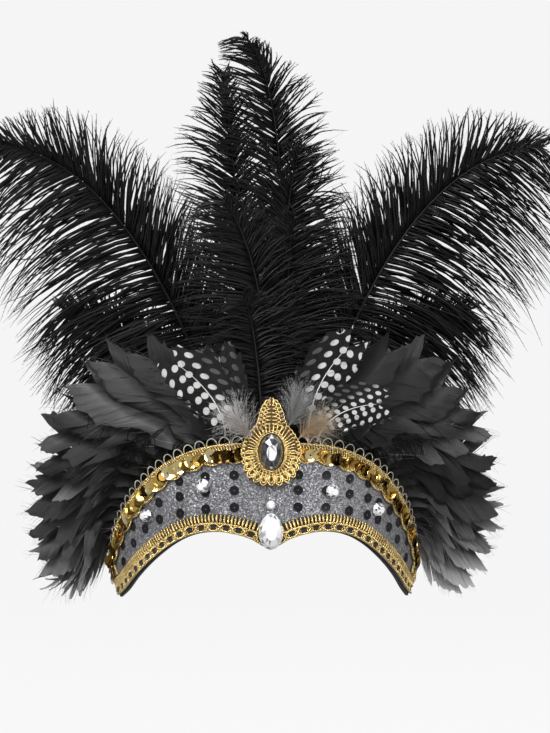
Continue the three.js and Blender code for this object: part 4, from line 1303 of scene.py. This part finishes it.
def growSideFeather(k, side, row):
    angle, leftFan, rightFan, length, half, leftTones, rightTones = row
    fan, tones = (leftFan, leftTones) if side < 0 else (rightFan, rightTones)
    dice = np.random.default_rng(100 + 2 * k + (side > 0))
    sweep = math.radians(sideSize["sweep"]) * (angle - 20) / 59
    reach = np.array([side * math.sin(math.radians(fan)) * math.cos(sweep),
                      math.sin(math.radians(fan)) * math.sin(sweep), math.cos(math.radians(fan))])
    root = quillRoot(side * angle, sideSize["belowEdge"])
    edge = root[2] + sideSize["belowEdge"]
    neck = np.array([root[0], root[1], edge + sideSize["neckRise"]])
    pull = np.array([root[0], root[1], edge + sideSize["pullRise"]])
    shaft = Shaft(bezier(root, pull, neck + reach * sideSize["bend"] * length, neck + reach * length,
                         np.linspace(0, 1, 200)) * mm)
    facing = np.array([side * math.sin(sweep), -math.cos(sweep), 0])
    word = "left" if side < 0 else "right"
    ragged, smooth, split = side < 0 and k > 10, side > 0 and k == 12, k in (3, 4, 5, 6, 8, 9)
    locks, wide, part, sway = (8, 4, 0.95, 0.18) if ragged else (2, 13, 0.1, 0.02) if smooth else \
        (4, 7, 0.5, 0.1) if split else (2, 13, 0.22, 0.06)
    piece = growVane(f"cock_{word}_{k + 1}", shaft, facing, half * sideSize["wider"],
                     sideSize["bareQuill"] * mm / shaft.length, tones,
                     locks, wide, sideSize["loose"], part, sway,
                     dice.uniform(-0.2, 0.15), (56, 20) if ragged else (58, 30), 0.4 if ragged else 0.6, dice, 26)
    finishPiece(piece, cockGrey, "cock", f"side_feather_{word}_{k + 1}")
    return len(piece.data.polygons)


print("side feathers", sum(growSideFeather(k, side, row) for k, row in enumerate(sideFeathers) for side in (-1, 1)))


guineaQuill = 22  # bare length below the vane
guineas = [  # node, root x, pull, bend, tip, depth, lean height, half width, finish, seed
    ("guinea_left_outer", -25.5, (-20, 70), (-33, 86), (-51, 99), -92.5, 10, 13.5, largeSpots, 51),
    ("guinea_left_inner", -22, (-20, 70), (-25, 88), (-28, 104), -88, 18, 12, dimSpots, 52),
    ("guinea_right_upper", 22, (17, 72), (25, 92), (43, 109), -88, 18, 13.5, largeSpots, 53),
    ("guinea_right_lower", 25.5, (22, 66), (36, 76), (58, 77), -92.5, 10, 12, smallSpots, 54)]


def growGuinea(row):
    node, rootX, pull, bend, tip, depth, leanHeight, half, finish, seed = row
    dice = np.random.default_rng(seed)
    root = quillRoot(math.degrees(math.asin(rootX / crescent["radius"])), 9)
    shaft = leaningShaft(root, pull, bend, tip, depth, 0, root[2] + 9 + shaftSize["quill"], leanHeight)
    piece = growVane(node.replace("guinea_", "guineaFeather_"), shaft, front, half, guineaQuill * mm / shaft.length,
                     (0.1, 0.16, 0.12), 1, 19, 26, 0.0, 0.01, 0.0, (62, 36), 0.85, dice, pale=0.97)
    finishPiece(piece, finish, "guinea", node)
    return len(piece.data.polygons)


print("guinea feathers", sum(growGuinea(row) for row in guineas))


# tufts of down: soft strands that spread from the foot of a feather
tufts = [  # node, x, z, lean, length, half, dark, light, tip, seed
    ("down_left", -18.5, 68.5, 40, 24, 10, (0.16, 0.11, 0.08), (0.5, 0.48, 0.46), (0.62, 0.62, 0.62), 61),
    ("down_right_upper", 14.5, 77, -25, 25, 9, (0.1, 0.095, 0.09), (0.3, 0.3, 0.3), (0.42, 0.42, 0.42), 62),
    ("down_right_lower", 25.5, 66, -60, 24, 9, (0.3, 0.12, 0.04), (0.46, 0.38, 0.26), (0.46, 0.45, 0.36), 63)]
tuftSize = {"depth": -97, "strands": 350, "steps": 6, "radius": 0.055, "fluff": 9, "fluffLength": 2.2,
            "fluffRadius": 0.035}


def growTuft(row):
    node, x, z, lean, length, half, dark, light, tip, seed = row
    dice = np.random.default_rng(seed)
    lie = math.radians(lean)
    axis = np.array([-math.sin(lie), 0, math.cos(lie)])
    beside = np.array([math.cos(lie), 0, math.sin(lie)])
    foot = np.array([x, tuftSize["depth"], z]) - axis * length / 2
    shaft = Shaft(np.linspace(foot, foot + axis * length * 0.7, 60) * mm)
    count = tuftSize["strands"]
    s = np.linspace(0, 1, tuftSize["steps"] + 1)
    roots = shaft.at(dice.uniform(0, 0.75, count))
    fan = dice.normal(0, 0.62, count)
    out = unit(axis * np.cos(fan)[:, None] + beside * np.sin(fan)[:, None]
               + np.array([0, -1, 0]) * dice.normal(0.05, 0.22, count)[:, None])
    long = half * dice.uniform(0.9, 2.0, count) * mm
    paths = roots[:, None] + long[:, None, None] * s[:, None] * out[:, None]
    for way in (beside, np.array([0, 1.0, 0])):
        phase, rate = dice.uniform(0, 6.28, (count, 1)), dice.uniform(3, 8, (count, 1))
        paths = paths + (0.9 * mm * s * np.sin(phase + rate * s))[..., None] * way
    shades = dice.uniform(0.05, 0.95, count)
    bundles = [shaftTube(shaft, 0.3, 0.12, front, sides=5, steps=12, shade=0.9),
               tubes(paths, tuftSize["radius"] * mm * (1.25 - s), 3, shade=shades),
               fluff(paths, tuftSize["fluff"], tuftSize["fluffLength"], tuftSize["fluffRadius"], dice, shades)]
    piece = joinBundles(node.replace("down_", "downTuft_"), bundles)
    finishPiece(piece, featherMaterial(node.replace("down_", "downy_"), dark, light, tip, 0.8, 0.3), "down", node)
    return len(piece.data.polygons)


print("down tufts", sum(growTuft(row) for row in tufts))


total = sum(len(face.vertices) - 2 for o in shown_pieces() if o.type == "MESH" for face in o.data.polygons)
print("triangles in all", total)
